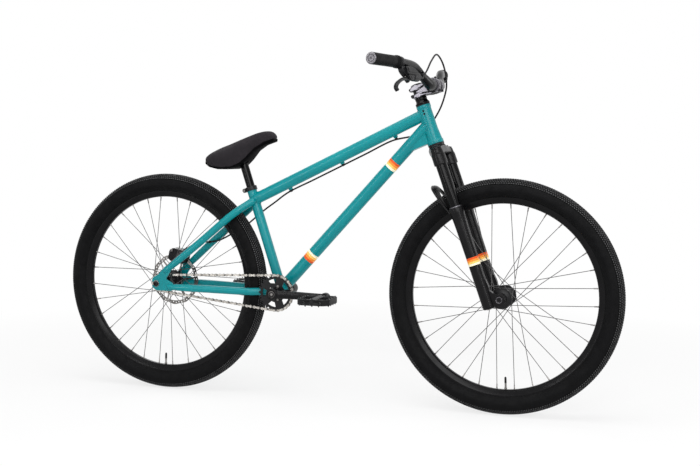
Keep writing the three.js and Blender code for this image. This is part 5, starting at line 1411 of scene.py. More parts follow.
# The section runs from bead to bead: angle 0 is the middle of the tread.
def makeTyre(name, where):
    angles = roundAngles(treadLook["around"])
    edge, depth = treadLook["edgeAngle"], treadLook["depth"]
    count = treadLook["blocks"] * treadLook["ringsPerBlock"]
    tread, heights = [], []
    for index, degree in enumerate(np.linspace(-edge, edge, count + 1)):
        heights.append(treadHeight(angles, degree, index))
        tread.append(tyreRing(angles, degree, (heights[-1] - 1) * depth))
    corners, faces = skin(tread, capped=False)
    cornerHeights = np.concatenate(heights)
    raised = [cornerHeights[face[0]] + cornerHeights[face[2]] > 1 for face in faces]
    blocks = [face for face, up in zip(faces, raised) if up]
    grooves = [face for face, up in zip(faces, raised) if not up]
    # Raised blocks take the lighter tread rubber, a painted highlight; grooves take the near-black rubber,
    # painted shade.
    shapes = [((corners, blocks), "tread", where)]
    shapes.append(((corners, grooves), "groove", where))
    inner, bead = wheelSizes["beadRadius"], wheelSizes["beadHalfWidth"]
    left = [*wallRings(angles, edge + 2, treadLook["beadAngle"]), levelRing(inner, angles, bead)]
    right = [levelRing(inner, angles, -bead), *wallRings(angles, -treadLook["beadAngle"], -edge - 2)]
    wall = [tread[-1], *left, *right, tread[0]]
    shapes.append((skin(wall, capped=False), name + "Tyre", where))
    piece(name + "Tyre", name + "_wheel", shapes, name + "_tyre", sharp=50)


def makeRim(name, where):
    outer, depth = wheelSizes["rimRadius"], wheelSizes["rimDepth"]
    half, floor = wheelSizes["rimHalfWidth"], wheelSizes["rimFloorHalfWidth"]
    side = [
        (outer - 9, half - 2.6),
        (outer, half - 2.6), (outer, half), (outer - 8, half - 0.2), (outer - 11, half - 1.6),
        (outer - depth + 3, floor + 3.4), (outer - depth, floor - 1),
    ]
    outline = side + [(r, -y) for r, y in side[::-1]]
    shapes = [(turned(outline, 180, 0.9), "rim", where)]
    centre, (ahead, up, across) = where
    valve = setting(centre - up * (outer - depth), ahead, across, up)
    length = wheelSizes["valveLength"]
    r, half = wheelSizes["valveRadius"], length * 0.5
    stem = [(0, -3), (r, -3), (r, 2), (r + 1.2, 2), (r + 1.2, 5), (2.9, 5), (2.9, length * 0.55),
            (0, length * 0.55)]
    cap = [(0, half), (3.1, half), (3.1, length - 3), (2, length), (0, length)]
    shapes.append((turned(stem, 24, 0.3, False), "bolt", valve))
    shapes.append((turned(cap, 24, 0.6, False), "plastic", valve))
    piece(name + "Rim", name + "_wheel", shapes, name + "_rim")


def spokeLine(start, end, side, flange, angle, lean):
    root = np.array([*polar(start, angle), side * (flange + 0.6)])
    tip = np.array([*polar(end, angle + lean), side * wheelSizes["rimSpokeSpread"]])
    return root, tip


def makeSpokes(name, where, side, flange):
    count, crosses = wheelSizes["spokesPerSide"], wheelSizes["spokeCrosses"]
    pitch = 2 * math.pi / count
    phase = (1 if side < 0 else 3) * pitch / 4
    shapes = []
    for i in range(count):
        lean = pitch * crosses * (1 if i % 2 == 0 else -1)
        angle = i * pitch + phase
        root, tip = spokeLine(wheelSizes["spokeStart"], wheelSizes["spokeEnd"], side, flange, angle, lean)
        offset = np.array([0, 0, side * (1.4 if i % 2 == 0 else -1.4)])
        line = straight(root + offset, tip, 2)
        shapes.append((tube(line, wheelSizes["spokeRadius"], 8), "spoke", where))
        inward = unit(root - tip)
        nipple = lathe([(0, -1), (2.1, -1), (2.1, 2.4), (1.7, 3), (1.7, 11), (1.2, 12), (0, 12)], 8)
        shapes.append((nipple, "bolt", settingAlong(tip, inward), where))
        elbow = turned([(0, -1.2), (1.9, -1.2), (1.9, 0.5), (0, 0.9)], 12, 0.3, False)
        seat = setting(root + offset, forward, leftward, place(0, 0, side if i % 2 == 0 else -side))
        shapes.append((elbow, "spoke", seat, where))
    title = "Right" if side < 0 else "Left"
    node = name + "_spokes_" + title.lower()
    piece(name + "Spokes" + title, name + "_wheel", shapes, node, sharp=45)


def flangeProfile(spread, barrel):
    radius = wheelSizes["flangeRadius"]
    near = [(barrel, spread - 4.4), (radius - 5, spread - 2), (radius, spread - 1.9)]
    return near + [(radius, spread + 1.9), (radius - 5, spread + 2), (barrel, spread + 4.4)]


def makeFrontHub():
    spread = wheelSizes["frontFlange"]
    outline = [(8, -55), (11, -55), (11, -51), (14, -51), (14.6, -44)]
    outline += flangeProfile(-spread, 16) + [(13.2, 0)] + flangeProfile(spread, 16)
    outline += [(14.6, 44), (14, 51), (11, 51), (11, 55), (8, 55)]
    shapes = [(turned(outline, 64, 1.0), "anodised", frontWheel)]
    piece("frontHub", "front_wheel", shapes, "front_hub")


def makeRearHub():
    spread = wheelSizes["rearFlange"]
    outline = [(7.6, -41), (16, -41)]
    outline += flangeProfile(-spread, 17) + [(16.4, -20), (15.6, 0), (16.4, 20)] + flangeProfile(spread, 17)
    outline += [(22, 42), (25, 43), (25, 50.8), (16.3, 50.8), (16.3, 54.8), (11, 60.8), (7.6, 60.8)]
    shapes = [(turned(outline, 64, 0.9), "anodised", rearWheel)]
    piece("rearHub", "rear_wheel", shapes, "rear_hub")


discSizes = {
    "radius": 80,
    "band": 12,
    "thickness": 1.8,
    "spread": 52,
    "waves": 12,
    "wave": 2.4,
    "arms": 6,
    "armHalfAngle": 3.6,
    "hubRadius": 26,
    "bore": 16.6,
    "holeRadius": 2.2,
    "boltCircle": 22,
}


def makeDisc():
    radius, waves = discSizes["radius"], discSizes["waves"]
    rim = []
    for i in range(waves * 12):
        angle = 2 * math.pi * i / (waves * 12)
        out = radius + discSizes["wave"] * (0.5 * math.cos(waves * angle) - 0.5)
        rim.append(polar(out, angle))
    pitch = 360 / discSizes["arms"]
    half = discSizes["armHalfAngle"]
    holes = [circlePoints((0, 0), discSizes["bore"], 36)]
    for i in range(discSizes["arms"]):
        middle = i * pitch
        inner = radius - discSizes["band"]
        outside = arcPoints((0, 0), inner, middle + half / 2 + 8, middle + pitch - half / 2 + 8, 12)
        inside = arcPoints((0, 0), discSizes["hubRadius"], middle + pitch - half * 2, middle + half * 2, 6)
        holes.append(rounded([*outside, *inside], 1.2, 1))
    for i in range(waves * 4):
        angle = 2 * math.pi * (i + 0.5) / (waves * 4)
        out = radius - discSizes["band"] * (0.46, 0.66)[i % 2]
        holes.append(circlePoints(polar(out, angle), discSizes["holeRadius"], 10))
    half = discSizes["thickness"] / 2
    low, high = discSizes["spread"] - half, discSizes["spread"] + half
    shapes = [(plate(rim, low, high, holes), "disc", rearWheel)]
    bolt = socketBolt(3.4, 2.6, 1.6, 1.6)
    for i in range(discSizes["arms"]):
        angle = 2 * math.pi * (i + 0.5) / discSizes["arms"]
        spot = place(*polar(discSizes["boltCircle"], angle), high)
        shapes.append((bolt, "anodised", setting(spot), rearWheel))
    piece("brakeDisc", "rear_wheel", shapes, "brake_rotor", sharp=30)


for name, where in (("rear", rearWheel), ("front", frontWheel)):
    makeTyre(name, where)
    makeRim(name, where)
    for side in (-1, 1):
        makeSpokes(name, where, side, wheelSizes[name + "Flange"])
makeFrontHub()
makeRearHub()
makeDisc()
print("wheels made")


# Chain drive

driveSizes = {
    "pitch": 12.7,
    "ringTeeth": 26,
    "cogTeeth": 12,
    "spread": 50,
    "rollerRadius": 3.9,
    "plateHalfHeight": 4.1,
    "waistHalfHeight": 2.4,
    "innerSpacing": 1.9,
    "outerSpacing": 3.0,
    "plateThickness": 1.0,
    "ringThickness": 3,
    "cogThickness": 2.6,
    "windows": 5,
    "windowInner": 28,
    "windowOuter": 42,
    "windowHalfAngle": (18, 11),
}
ringRadius = driveSizes["pitch"] / (2 * math.sin(math.pi / driveSizes["ringTeeth"]))
cogRadius = driveSizes["pitch"] / (2 * math.sin(math.pi / driveSizes["cogTeeth"]))


# The chain's pitch line, as X and Z, from the lower run round the ring and back.
def chainPath():
    across = bracket - rearAxle
    length = math.hypot(across[0], across[2])
    lean = math.degrees(math.atan2(across[2], across[0]))
    wrap = math.degrees(math.acos((cogRadius - ringRadius) / length))
    ring = arcPoints((bracket[0], bracket[2]), ringRadius, lean - wrap, lean + wrap, 120)
    cog = arcPoints((rearAxle[0], rearAxle[2]), cogRadius, lean + wrap, lean + 360 - wrap, 90)
    return np.array([*ring, *cog, ring[0]])


def linkPlate(start, end, level, thickness, waist):
    middle, along = (start + end) / 2, unit(end - start)
    half = np.linalg.norm(end - start) / 2
    across = np.array([-along[1], along[0]])
    radius = driveSizes["plateHalfHeight"]
    outline = []
    for centre, turn in ((half, 0), (-half, 180)):
        for degree in np.linspace(-70, 70, 6):
            ahead, out = polar(radius, math.radians(degree + turn))
            outline.append(middle + along * (centre + ahead) + across * out)
        outline.append(middle + across * (waist if turn == 0 else -waist))
    return plate(outline, level, level + thickness)


def makeChain():
    path = chainPath()
    total = np.sum(np.linalg.norm(np.diff(path, axis=0), axis=1))
    links = int(round(total / driveSizes["pitch"] / 2)) * 2
    pins = evenly(path, links)[:-1]
    where = sideOn(place(0, -driveSizes["spread"], 0))
    out, thickness = driveSizes["rollerRadius"], driveSizes["plateThickness"]
    roller = lathe([(2, -1.5), (out, -1.5), (out, 1.5), (2, 1.5)], 12, True)
    rivet = lathe([(0, -3.9), (1.5, -3.9), (1.8, -3.5), (1.8, 3.5), (1.5, 3.9), (0, 3.9)], 10)
    shapes = []
    for i in range(links):
        start, end = pins[i], pins[(i + 1) % links]
        spacing = driveSizes["outerSpacing"] if i % 2 else driveSizes["innerSpacing"]
        # Inner plates and rollers take the darker link steel, painted shade between the outer plates.
        for level in (spacing - thickness / 2, -spacing - thickness / 2):
            link = linkPlate(start, end, level, thickness, driveSizes["waistHalfHeight"])
            shapes.append((link, "chain" if i % 2 else "link", where))
        pin = setting(place(start[0], start[1], 0))
        shapes.append((roller, "link", pin, where))
        shapes.append((rivet, "chain", pin, where))
    print("chain of", links, "links")
    piece("chain", "frame", shapes, "chain", sharp=30)


# One tooth: shares of a tooth's step round the wheel, and heights over the pitch circle.
toothSteps = [(-0.38, -3.5), (-0.27, -1.6), (-0.17, 0.9), (-0.07, 2.5)]


def toothOutline(teeth, radius):
    step = 2 * math.pi / teeth
    tooth = [(-0.5, -3.9), *toothSteps, *[(-share, out) for share, out in toothSteps[::-1]]]
    return [polar(radius + out, i * step + share * step) for i in range(teeth) for share, out in tooth]


crankSizes = {
    "length": 165,
    "restAngle": 0.7,
    "bossRadius": 18,
    "bossInner": 51.8,
    "bossOuter": 88,
    "armSpread": (75, 80.5),
    "armHalfWidth": (10.5, 7),
    "armHalfHeight": (13, 10.6),
    "eyeRadius": 14,
    "eyeInner": 70,
    "eyeOuter": 91,
}
crankTurn = math.radians(crankSizes["restAngle"])
crankSetting = setting(
    bracket,
    place(math.cos(crankTurn), 0, -math.sin(crankTurn)),
    leftward,
    place(math.sin(crankTurn), 0, math.cos(crankTurn)),
)
crankWheel = setting(bracket, crankSetting[1][0], crankSetting[1][2], leftward)


def makeChainring():
    windows = [circlePoints((0, 0), 10.2, 30)]
    outerHalf, innerHalf = driveSizes["windowHalfAngle"]
    for i in range(driveSizes["windows"]):
        middle = (i + 0.5) * 360 / driveSizes["windows"]
        outside = arcPoints((0, 0), driveSizes["windowOuter"], middle - outerHalf, middle + outerHalf, 9)
        inside = arcPoints((0, 0), driveSizes["windowInner"], middle + innerHalf, middle - innerHalf, 4)
        windows.append(rounded([*outside, *inside], 2.0, 2))
    half = driveSizes["ringThickness"] / 2
    level = -driveSizes["spread"]
    shape = plate(toothOutline(driveSizes["ringTeeth"], ringRadius), level - half, level + half, windows)
    shapes = [(shape, "anodised", crankWheel)]
    for i in range(driveSizes["windows"]):
        angle = math.radians(i * 360 / driveSizes["windows"])
        spot = place(*polar(20.5, angle), level - half)
        where = setting(spot, zAxis=-upward)
        shapes.append((socketBolt(3.6, 1.6, 1.8, 1), "bolt", where, crankWheel))
    piece("chainring", "crank", shapes, "chainring", sharp=30, bevel=0.35)


def makeCog():
    half = driveSizes["cogThickness"] / 2
    level = -driveSizes["spread"]
    outline = toothOutline(driveSizes["cogTeeth"], cogRadius)
    teeth = plate(outline, level - half, level + half, [circlePoints((0, 0), 12)])
    body = turned([(7.9, -60), (15, -60), (16, -58), (16, -41.5), (7.9, -41.5)], 48, 0.8)
    where = sideOn(rearAxle)
    shapes = [(teeth, "chain", where), (body, "anodised", where)]
    piece("rearCog", "driver", shapes, "rear_cog", sharp=30)


def ovalRing(x, y, halfWide, halfHigh, power=3.0, steps=28):
    angles = roundAngles(steps)
    wide = np.sign(np.cos(angles)) * np.abs(np.cos(angles)) ** (2 / power) * halfWide
    high = np.sign(np.sin(angles)) * np.abs(np.sin(angles)) ** (2 / power) * halfHigh
    return np.column_stack([np.full(steps, x), y + wide, high])


def makeCrankArm(name, side):
    length = crankSizes["length"] * -side
    rings = []
    for share in np.linspace(0, 1, 14):
        spread = np.interp(share, (0, 1), crankSizes["armSpread"])
        wide = np.interp(share, (0, 1), crankSizes["armHalfWidth"])
        high = np.interp(math.sin(share * math.pi / 2), (0, 1), crankSizes["armHalfHeight"])
        rings.append(ovalRing(length * share, side * spread, wide, high))
    inner, outer, r = crankSizes["bossInner"], crankSizes["bossOuter"], crankSizes["bossRadius"]
    boss = [(9.7, inner), (r - 1, inner), (r, inner + 2), (r, outer - 3), (r - 2, outer), (9.7, outer)]
    outward = setting(bracket, crankSetting[1][0], crankSetting[1][2], leftward * side)
    inner, outer, r = crankSizes["eyeInner"], crankSizes["eyeOuter"], crankSizes["eyeRadius"]
    eye = [(6.8, inner), (r - 1.5, inner), (r, inner + 2), (r, outer - 3), (r - 1.5, outer), (6.8, outer)]
    tip = setInto(crankSetting, place(length, 0, 0))
    shapes = [
        (skin(rings), "black", crankSetting),
        (turned(boss, 56, 1.6), "black", outward),
        (turned(eye, 48, 1.2), "black", sideOn(tip, side)),
    ]
    piece("crankArm" + name.capitalize(), "crank", shapes, "crank_arm_" + name)


def makeSpindle():
    end = crankSizes["bossOuter"] - 1.2
    outline = [(0, -end), (9.5, -end), (9.5, -48.2), (13, -48.2), (13, -38.6), (9.5, -38.6)]
    outline += [(9.5, 38.6), (13, 38.6), (13, 51.5), (9.5, 51.5), (9.5, end), (0, end)]
    shapes = [(turned(outline, 48, 0.6, False), "bolt", sideOn(bracket))]
    for side in (-1, 1):
        where = settingAlong(bracket + leftward * side * (end - 1), leftward * side)
        shapes.append((socketBolt(8.4, 2, 4, 1.8), "anodised", where))
    piece("crankSpindle", "crank", shapes, "crank_spindle")


pedalSizes = {
    "inner": 97,
    "width": 98,
    "halfLength": 48,
    "halfHeight": 9.4,
    "rail": 9,
    "chamfer": 14,
    "barrel": 9.6,
    "hole": 3.5,
    "holeReach": 0.5,
    "pinHeight": 3.4,
    "pinRadius": 1.7,
    "rib": (-24, -20),
}


def pedalCage(side):
    half, width = pedalSizes["halfLength"], pedalSizes["width"] / 2
    chamfer, rail, high = pedalSizes["chamfer"], pedalSizes["rail"], pedalSizes["halfHeight"] * 0.94
    quarter = [(half, -width + chamfer), (half, width - chamfer), (half - chamfer, width)]
    corners = [(half - chamfer, -width), *quarter]
    corners += [(-x, y) for x, y in corners[::-1]]
    windows = []
    for end in (-1, 1):
        near, far = end * (pedalSizes["barrel"] + 1.5), end * (half - rail)
        for low, top in ((rail - width, pedalSizes["rib"][0]), (pedalSizes["rib"][1], width - rail)):
            window = ((near, low), (far, low), (far, top), (near, top))
            windows.append(rounded([(x, y * side) for x, y in window], 3, 3))
    return plate(rounded(corners, 5, 4), -high, high, windows, edge=1.2)


# Round holes bored through the outer rail.
def boredCage(name, where, side):
    body = "pedal_" + name
    cage = piece(name + "Cage", body, [(pedalCage(side), "plastic", where)])
    half, width = pedalSizes["halfLength"], pedalSizes["width"] / 2
    for end in (-1, 1):
        across = end * pedalSizes["holeReach"] * half
        start, stop = (place(across, side * (width + out), 0) for out in (4, -pedalSizes["rail"] - 2))
        bore = tube([start, stop], pedalSizes["hole"], 20)
        drill = piece(name + "Drill", body, [(bore, "plastic", where)])
        applied(cage, "BOOLEAN", operation="DIFFERENCE", object=drill, solver="EXACT")
        bpy.data.objects.remove(drill)


def makePedal(name, side):
    half, width = pedalSizes["halfLength"], pedalSizes["width"] / 2
    tip = setInto(crankSetting, place(-side * crankSizes["length"], 0, 0))
    centre = tip + leftward * side * (pedalSizes["inner"] + width)
    high = pedalSizes["halfHeight"] * 0.94
    boredCage(name, setting(centre), side)
    radius, tall = pedalSizes["pinRadius"], pedalSizes["pinHeight"]
    barrel = sleeve(7.4, pedalSizes["barrel"], 1 - width, width - 1, 40, 1)
    shapes = [(barrel, "anodised", sideOn(centre))]
    foot = radius + 0.9
    pin = lathe([(0, 0), (foot, 0), (foot, 0.8), (radius, 0.9), (radius * 0.8, tall), (0, tall)], 12)
    for x, y in pinPlaces(half, width, pedalSizes["rail"]):
        for up in (-1, 1):
            spot = setting(centre + place(x, y, up * high), zAxis=upward * up)
            shapes.append((pin, "anodised", spot))
    cap = turned([(0, width - 1.2), (6.2, width - 1.2), (6.2, width + 0.1), (0, width + 0.1)], 28, 0.4, False)
    shapes.append((cap, "anodised", sideOn(centre, side)))
    piece("pedal" + name.capitalize(), "pedal_" + name, shapes, "pedal_" + name)


def pinPlaces(half, width, rail):
    spots = []
    for end in (-1, 1):
        spots += [(end * (half - rail / 2), share * width) for share in (-0.6, -0.2, 0.2, 0.6)]
    for end in (-1, 1):
        spots += [(x, end * (width - rail / 2)) for x in (-20, 0, 20)]
    return spots


def makePedalAxle(name, side):
    tip = setInto(crankSetting, place(-side * crankSizes["length"], 0, 0))
    outline = [(0, 70.3), (6.5, 70.3), (6.5, 92), (8.6, 92), (8.6, 96.6), (6.5, 96.6), (6.5, 183), (0, 183)]
    shape = movedBy(turned(outline, 32, 0.5, False), sideOn(tip, side))
    shapes = [(shape, "bolt")]
    piece("pedalAxle" + name.capitalize(), "crank", shapes, "pedal_axle_" + name)


makeChain()
makeChainring()
makeCog()
makeSpindle()
for name, side in bothSides:
    makeCrankArm(name, side)
    makePedalAxle(name, side)
    makePedal(name, side)
print("drive made")


# Rear brake caliper, in a setting whose X runs along the disc and Y out from the axle

caliperSizes = {
    "angle": 79,
    "inner": 56,
    "outer": 98,
    "halfLength": 30,
    "right": 37,
    "left": 67.2,
    "slot": (49.2, 54.8),
    "boltSpread": 22,
    "boltHeight": 90,
    "piston": (-2, 74),
}


def makeCaliper():
    lean = math.radians(caliperSizes["angle"])
    out = place(math.cos(lean), 0, math.sin(lean))
    along = place(-math.sin(lean), 0, math.cos(lean))
    where = setting(rearAxle, along, out, leftward)
    half, inner, outer = caliperSizes["halfLength"], caliperSizes["inner"], caliperSizes["outer"]
    side = [(-half, inner + 8), (-half + 8, inner), (half - 8, inner), (half, inner + 8)]
    side += [(half, outer - 10), (half - 10, outer), (-half + 9, outer), (-half, outer - 9)]
    shapes = []
    right, (slotLow, slotHigh) = caliperSizes["right"], caliperSizes["slot"]
    for low, high in ((right, slotLow), (slotHigh, caliperSizes["left"])):
        shapes.append((plate(rounded(side, 4), low, high), "black", where))
    bridge = rounded([(-half + 3, 86), (half - 3, 86), (half - 8, outer - 1), (-half + 7, outer - 1)], 3, 3)
    shapes.append((plate(bridge, slotLow - 1, slotHigh + 1), "black", where))
    for side in (-1, 1):
        spot = place(side * caliperSizes["boltSpread"], caliperSizes["boltHeight"], right + 0.5)
        head = movedBy(socketBolt(4.6, 5, 2.4, 3), setting(spot, zAxis=-upward))
        shapes.append((head, "bolt", where))
    piston = turned([(0, 0), (12, 0), (12, 2.6), (9, 3.4), (0, 3.4)], 40, 0.6, False)
    face = setting(place(*caliperSizes["piston"], right), zAxis=-upward)
    shapes.append((piston, "anodised", face, where))
    portFrom, portEnd = hosePort()
    port = settingAlong(portFrom, portEnd - portFrom)
    run = float(np.linalg.norm(portEnd - portFrom))
    nut = turned([(0, 0), (5.4, 0), (5.4, 4), (4.2, 5), (4.2, run - 1), (3.2, run), (0, run)], 20, 0.4, False)
    shapes.append((nut, "anodised", port))
    piece("brakeCaliper", "frame", shapes, "rear_caliper", bevel=0.8)


makeCaliper()


# Steering: headset cover, stem, handlebar, grips and brake lever

stemSizes = {
    "foot": 139.9,
    "top": 174.9,
    "radius": 20,
    "halfWidth": 20,
    "barHalfWidth": 26,
    "clampOuter": 20.9,
    "wall": 5,
    "webHalf": 16,
    "armInner": 9,
    "clampInner": 10,
    # Width of the black outline of painted shade round each grey face.
    "paintedShadeOutline": 1.9,
    "collarGap": (151, 161.5),
    "pinchHeights": (147.9, 166.9),
}


def makeHeadsetCover():
    outline = [(15, 118.6), (20.8, 118.6), (20.8, 122.6), (18.8, 125), (16.9, 129), (16.6, 132)]
    outline += [(17.2, 133), (17.2, 139.6), (15, 139.6)]
    shapes = [(turned(outline, 64, 1.0), "sleeve", steerSetting)]
    piece("headsetCover", "steering", shapes, "headset_cover")


# Outlines from the side: ahead of the steerer, and above the middle of the bar.
stemOutlines = {
    "upper": [
        (-19.5, 4), (-19.5, 12.5), (-8, 17.9), (5, 18.3), (22, 18.6), (34, 20.9), (48, 20.9),
        (48, 12), (30, 11.4), (-3.6, 4.4),
    ],
    "lower": [
        (-15, -15.6), (-14, -8.6), (-6.7, -4.8), (21.7, -11.8), (40, -14.6), (48, -15),
        (48, -20.9), (36, -20.9), (19.8, -16.7),
    ],
    "web": [(-4, 0.6), (25, 8.4), (44, 10), (44, -12), (22, -8.8), (-4, -2)],
    "core": [(-6, 8), (44, 15), (44, -16), (-6, -10)],
}


def barClampOutline(outer):
    reach, middle = barSizes["reach"], barSizes["clampHeight"]
    bore = arcPoints((reach, middle), barSizes["clampRadius"] + 0.2, 95, 265, 20)
    ends = [(reach - 0.5, middle + outer), (reach - 8, middle + outer)]
    back = arcPoints((reach, middle), outer, 112, 248, 12)
    return [*ends, *back, (reach - 8, middle - outer), (reach - 0.5, middle - outer), *bore[::-1]]


def pinchBolts(shapes):
    radius = stemSizes["radius"]
    for height in stemSizes["pinchHeights"]:
        for side in (-1, 1):
            ear = block((-radius - 2.4, side * 1.2, height - 4.6), (-radius * 0.7, side * 12, height + 4.6))
            shapes.append((ear, "anodised", steerSetting))
            spot = setInto(steerSetting, place(-radius + 1.4, side * 11.6, height))
            bolt = socketBolt(3.9, 5, 2.2, 2.5)
            shapes.append((bolt, "anodised", settingAlong(spot, leftward * side)))


# Grey faces on a black body. The black rim left round each face, and the black groove round the lighter web,
# are painted shade.
def makeStem():
    middle, radius = barSizes["clampHeight"], stemSizes["radius"]
    low, high = stemSizes["collarGap"]
    shapes = []
    for foot, top in ((stemSizes["foot"], low), (high, stemSizes["top"])):
        collar = sleeve(14.6, radius, foot, top, 64, 1.4)
        shapes.append((collar, "stem", steerSetting))
    core = sleeve(14.4, 15.6, low - 1, high + 1, 48, 0.3)
    shapes.append((core, "anodised", steerSetting))
    outlines = {}
    for name, points in stemOutlines.items():
        outlines[name] = [(x, middle + up) for x, up in points]
    half, line = stemSizes["halfWidth"], stemSizes["paintedShadeOutline"]
    for side in (-1, 1):
        for name in ("upper", "lower"):
            arm = rounded(outlines[name], 2.4, 3)
            body = sidePlate(arm, side, stemSizes["armInner"], half - 0.5, 0.5)
            # The grey face is inset, so a thin black outline of painted shade stays round it.
            face = sidePlate(inset(arm, line), side, half - 1, half, 0.2)
            shapes.append((body, "anodised", steerSide))
            shapes.append((face, "stem", steerSide))
        around = barClampOutline(stemSizes["clampOuter"])
        clamp = sidePlate(around, side, stemSizes["clampInner"], stemSizes["barHalfWidth"], 0.8)
        shapes.append((clamp, "anodised", steerSide))
    web = stemSizes["webHalf"]
    inside = plate(rounded(outlines["web"], 1.6), -web, web, edge=0.5)
    shapes.append((inside, "stem", steerSide))
    # The black core shows in the gaps round the web: painted shade.
    shapes.append((plate(outlines["core"], 1 - web, web - 1), "anodised", steerSide))
    pinchBolts(shapes)
    piece("stemBody", "steering", shapes, "stem_body")


def makeFaceplate():
    reach, middle = barSizes["reach"], barSizes["clampHeight"]
    inner = barSizes["clampRadius"] + 0.2
    outer = inner + stemSizes["wall"]
    front = arcPoints((reach, middle), outer, -62, 62, 14)
    back = arcPoints((reach, middle), inner, 86, -86, 20)
    band = [(reach + 1.2, middle - outer), (reach + 6, middle - outer), *front]
    band += [(reach + 6, middle + outer), (reach + 1.2, middle + outer), *back]
    inside, half = stemSizes["armInner"], stemSizes["barHalfWidth"]
    shapes = []
    for low, high in ((-half, -inside), (inside, half)):
        shapes.append((plate(band, low, high), "faceplate", steerSide))
    for up in (-1, 1):
        rail = [(2, 15), (7, outer - 0.5), (13, 13), (11.5, 11)]
        rail = [(reach + ahead, middle + up * rise) for ahead, rise in rail]
        shapes.append((plate(rail, -10, 10), "faceplate", steerSide))
        for side in (-1, 1):
            spot = setInto(steerSetting, place(reach + 9, side * 18, middle + up * 18.6))
            bolt = socketBolt(3.4, 6.4, 1.9, 3)
            shapes.append((bolt, "anodised", settingAlong(spot, steerForward)))
    piece("stemFaceplate", "steering", shapes, "stem_faceplate", bevel=0.8)


def makeTopCap():
    foot = stemSizes["top"] + 0.3
    outline = [(0, 0), (17, 0), (17, 2.2), (14, 4), (5.2, 4), (4.6, 3), (0, 3)]
    cap = turned([(out, foot + up) for out, up in outline], 56, 0.5, False)
    shapes = [(cap, "anodised", steerSetting)]
    bolt = movedBy(socketBolt(4.4, 3.2, 2.5, 2.4), setting(place(0, 0, foot + 0.6)))
    shapes.append((bolt, "bolt", steerSetting))
    piece("stemTopCap", "steering", shapes, "stem_top_cap")


# Half of the bar's run: shares of its reach, of the grip's start and of the rise over the clamp.
barShares = [
    (0.99, 0.26, 0.06), (0.95, 0.37, 0.3), (0.92, 0.49, 0.65), (0.9, 0.59, 0.83), (0.85, 0.7, 0.9),
    (0.73, 0.86, 0.96),
]


def barLine():
    reach, middle = barSizes["reach"], barSizes["clampHeight"]
    left = [place(reach, share * barSizes["clampStraight"], middle) for share in (0.5, 1)]
    for ahead, out, up in barShares:
        left.append(place(ahead * reach, out * barSizes["gripSpread"], middle + up * barSizes["gripRise"][0]))
    spreads = np.linspace(barSizes["gripSpread"], barSizes["endSpread"], 3)
    left += [barPoint(spread) for spread in spreads]
    return smoothLine([p * acrossBike for p in left[::-1]] + left, 150)


def makeHandlebar():
    line = barLine()
    start, end = barSizes["clampStraight"], barSizes["taperEnd"]
    share = np.clip((np.abs(line[:, 1]) - start) / (end - start), 0, 1)
    ease = share * share * (3 - 2 * share)
    radii = barSizes["clampRadius"] + (barSizes["radius"] - barSizes["clampRadius"]) * ease
    shape = movedBy(tube(line, radii, 36), steerSetting)
    piece("handlebar", "steering", [(shape, "black")], "handlebar")


gripSizes = {
    "radius": 15.7,
    "ring": 17.3,
    "ringLength": 8,
    "bore": 11.6,
    "capLength": 3.2,
    "ribs": 5,
    "ribPitch": 2.6,
}


def makeGrip(name, side):
    start, end = barPoint(barSizes["gripSpread"]), barPoint(barSizes["endSpread"])
    mirror = place(1, side, 1)
    length = float(np.linalg.norm(end - start))
    origin = setInto(steerSetting, start * mirror)
    direction = ((end - start) * mirror) @ steerSetting[1]
    where = settingAlong(origin, direction)
    ring, radius, bore = gripSizes["ring"], gripSizes["radius"], gripSizes["bore"]
    ringEnd, tip = gripSizes["ringLength"], gripSizes["capLength"]
    outline = [(bore, 0), (ring, 0), (ring, ringEnd), (radius, ringEnd + 1.5)]
    for i in range(gripSizes["ribs"]):
        at = ringEnd + 4 + i * gripSizes["ribPitch"]
        outline += [(radius, at), (radius - 0.8, at + 0.5), (radius - 0.8, at + 1.1), (radius, at + 1.6)]
    outline += [(radius - 0.2, length * 0.5), (radius, length - 4), (radius, length)]
    outline += [(radius - 1, length + 0.3), (bore, length + 0.3)]
    cap = [(0, -2), (radius - 1.2, -2), (radius - 0.6, 1.4), (radius - 2.4, tip - 0.2), (9.6, tip - 0.2)]
    cap += [(9.1, 2.2), (8.4, 2.2), (7.9, tip), (2.6, tip), (2.2, 1.2), (0, 1.2)]
    cap = [(out, length + past) for out, past in cap]
    shapes = [
        (lathe(rounded(outline, 0.5, 2, False), 48), "rubber", where),
        (lathe(rounded(cap, 0.4, 2, False), 48), "cap", where),
    ]
    piece("grip" + name.capitalize(), "steering", shapes, "grip_" + name)


# Outlines from the front, in the lever's setting: inboard of the clamp, and above the bar's middle.
leverOutlines = {
    "tank": [(8, -15), (34, -13.4), (50, -15.4), (68, -26), (74, -36), (8, -36)],
    "lid": [(14, -17), (33, -16), (47, -18), (60, -26), (62, -31), (14, -31)],
}


def leverAxis(reach, drop, direction=forward):
    return settingAlong(place(reach, 0, -drop), direction, leftward)


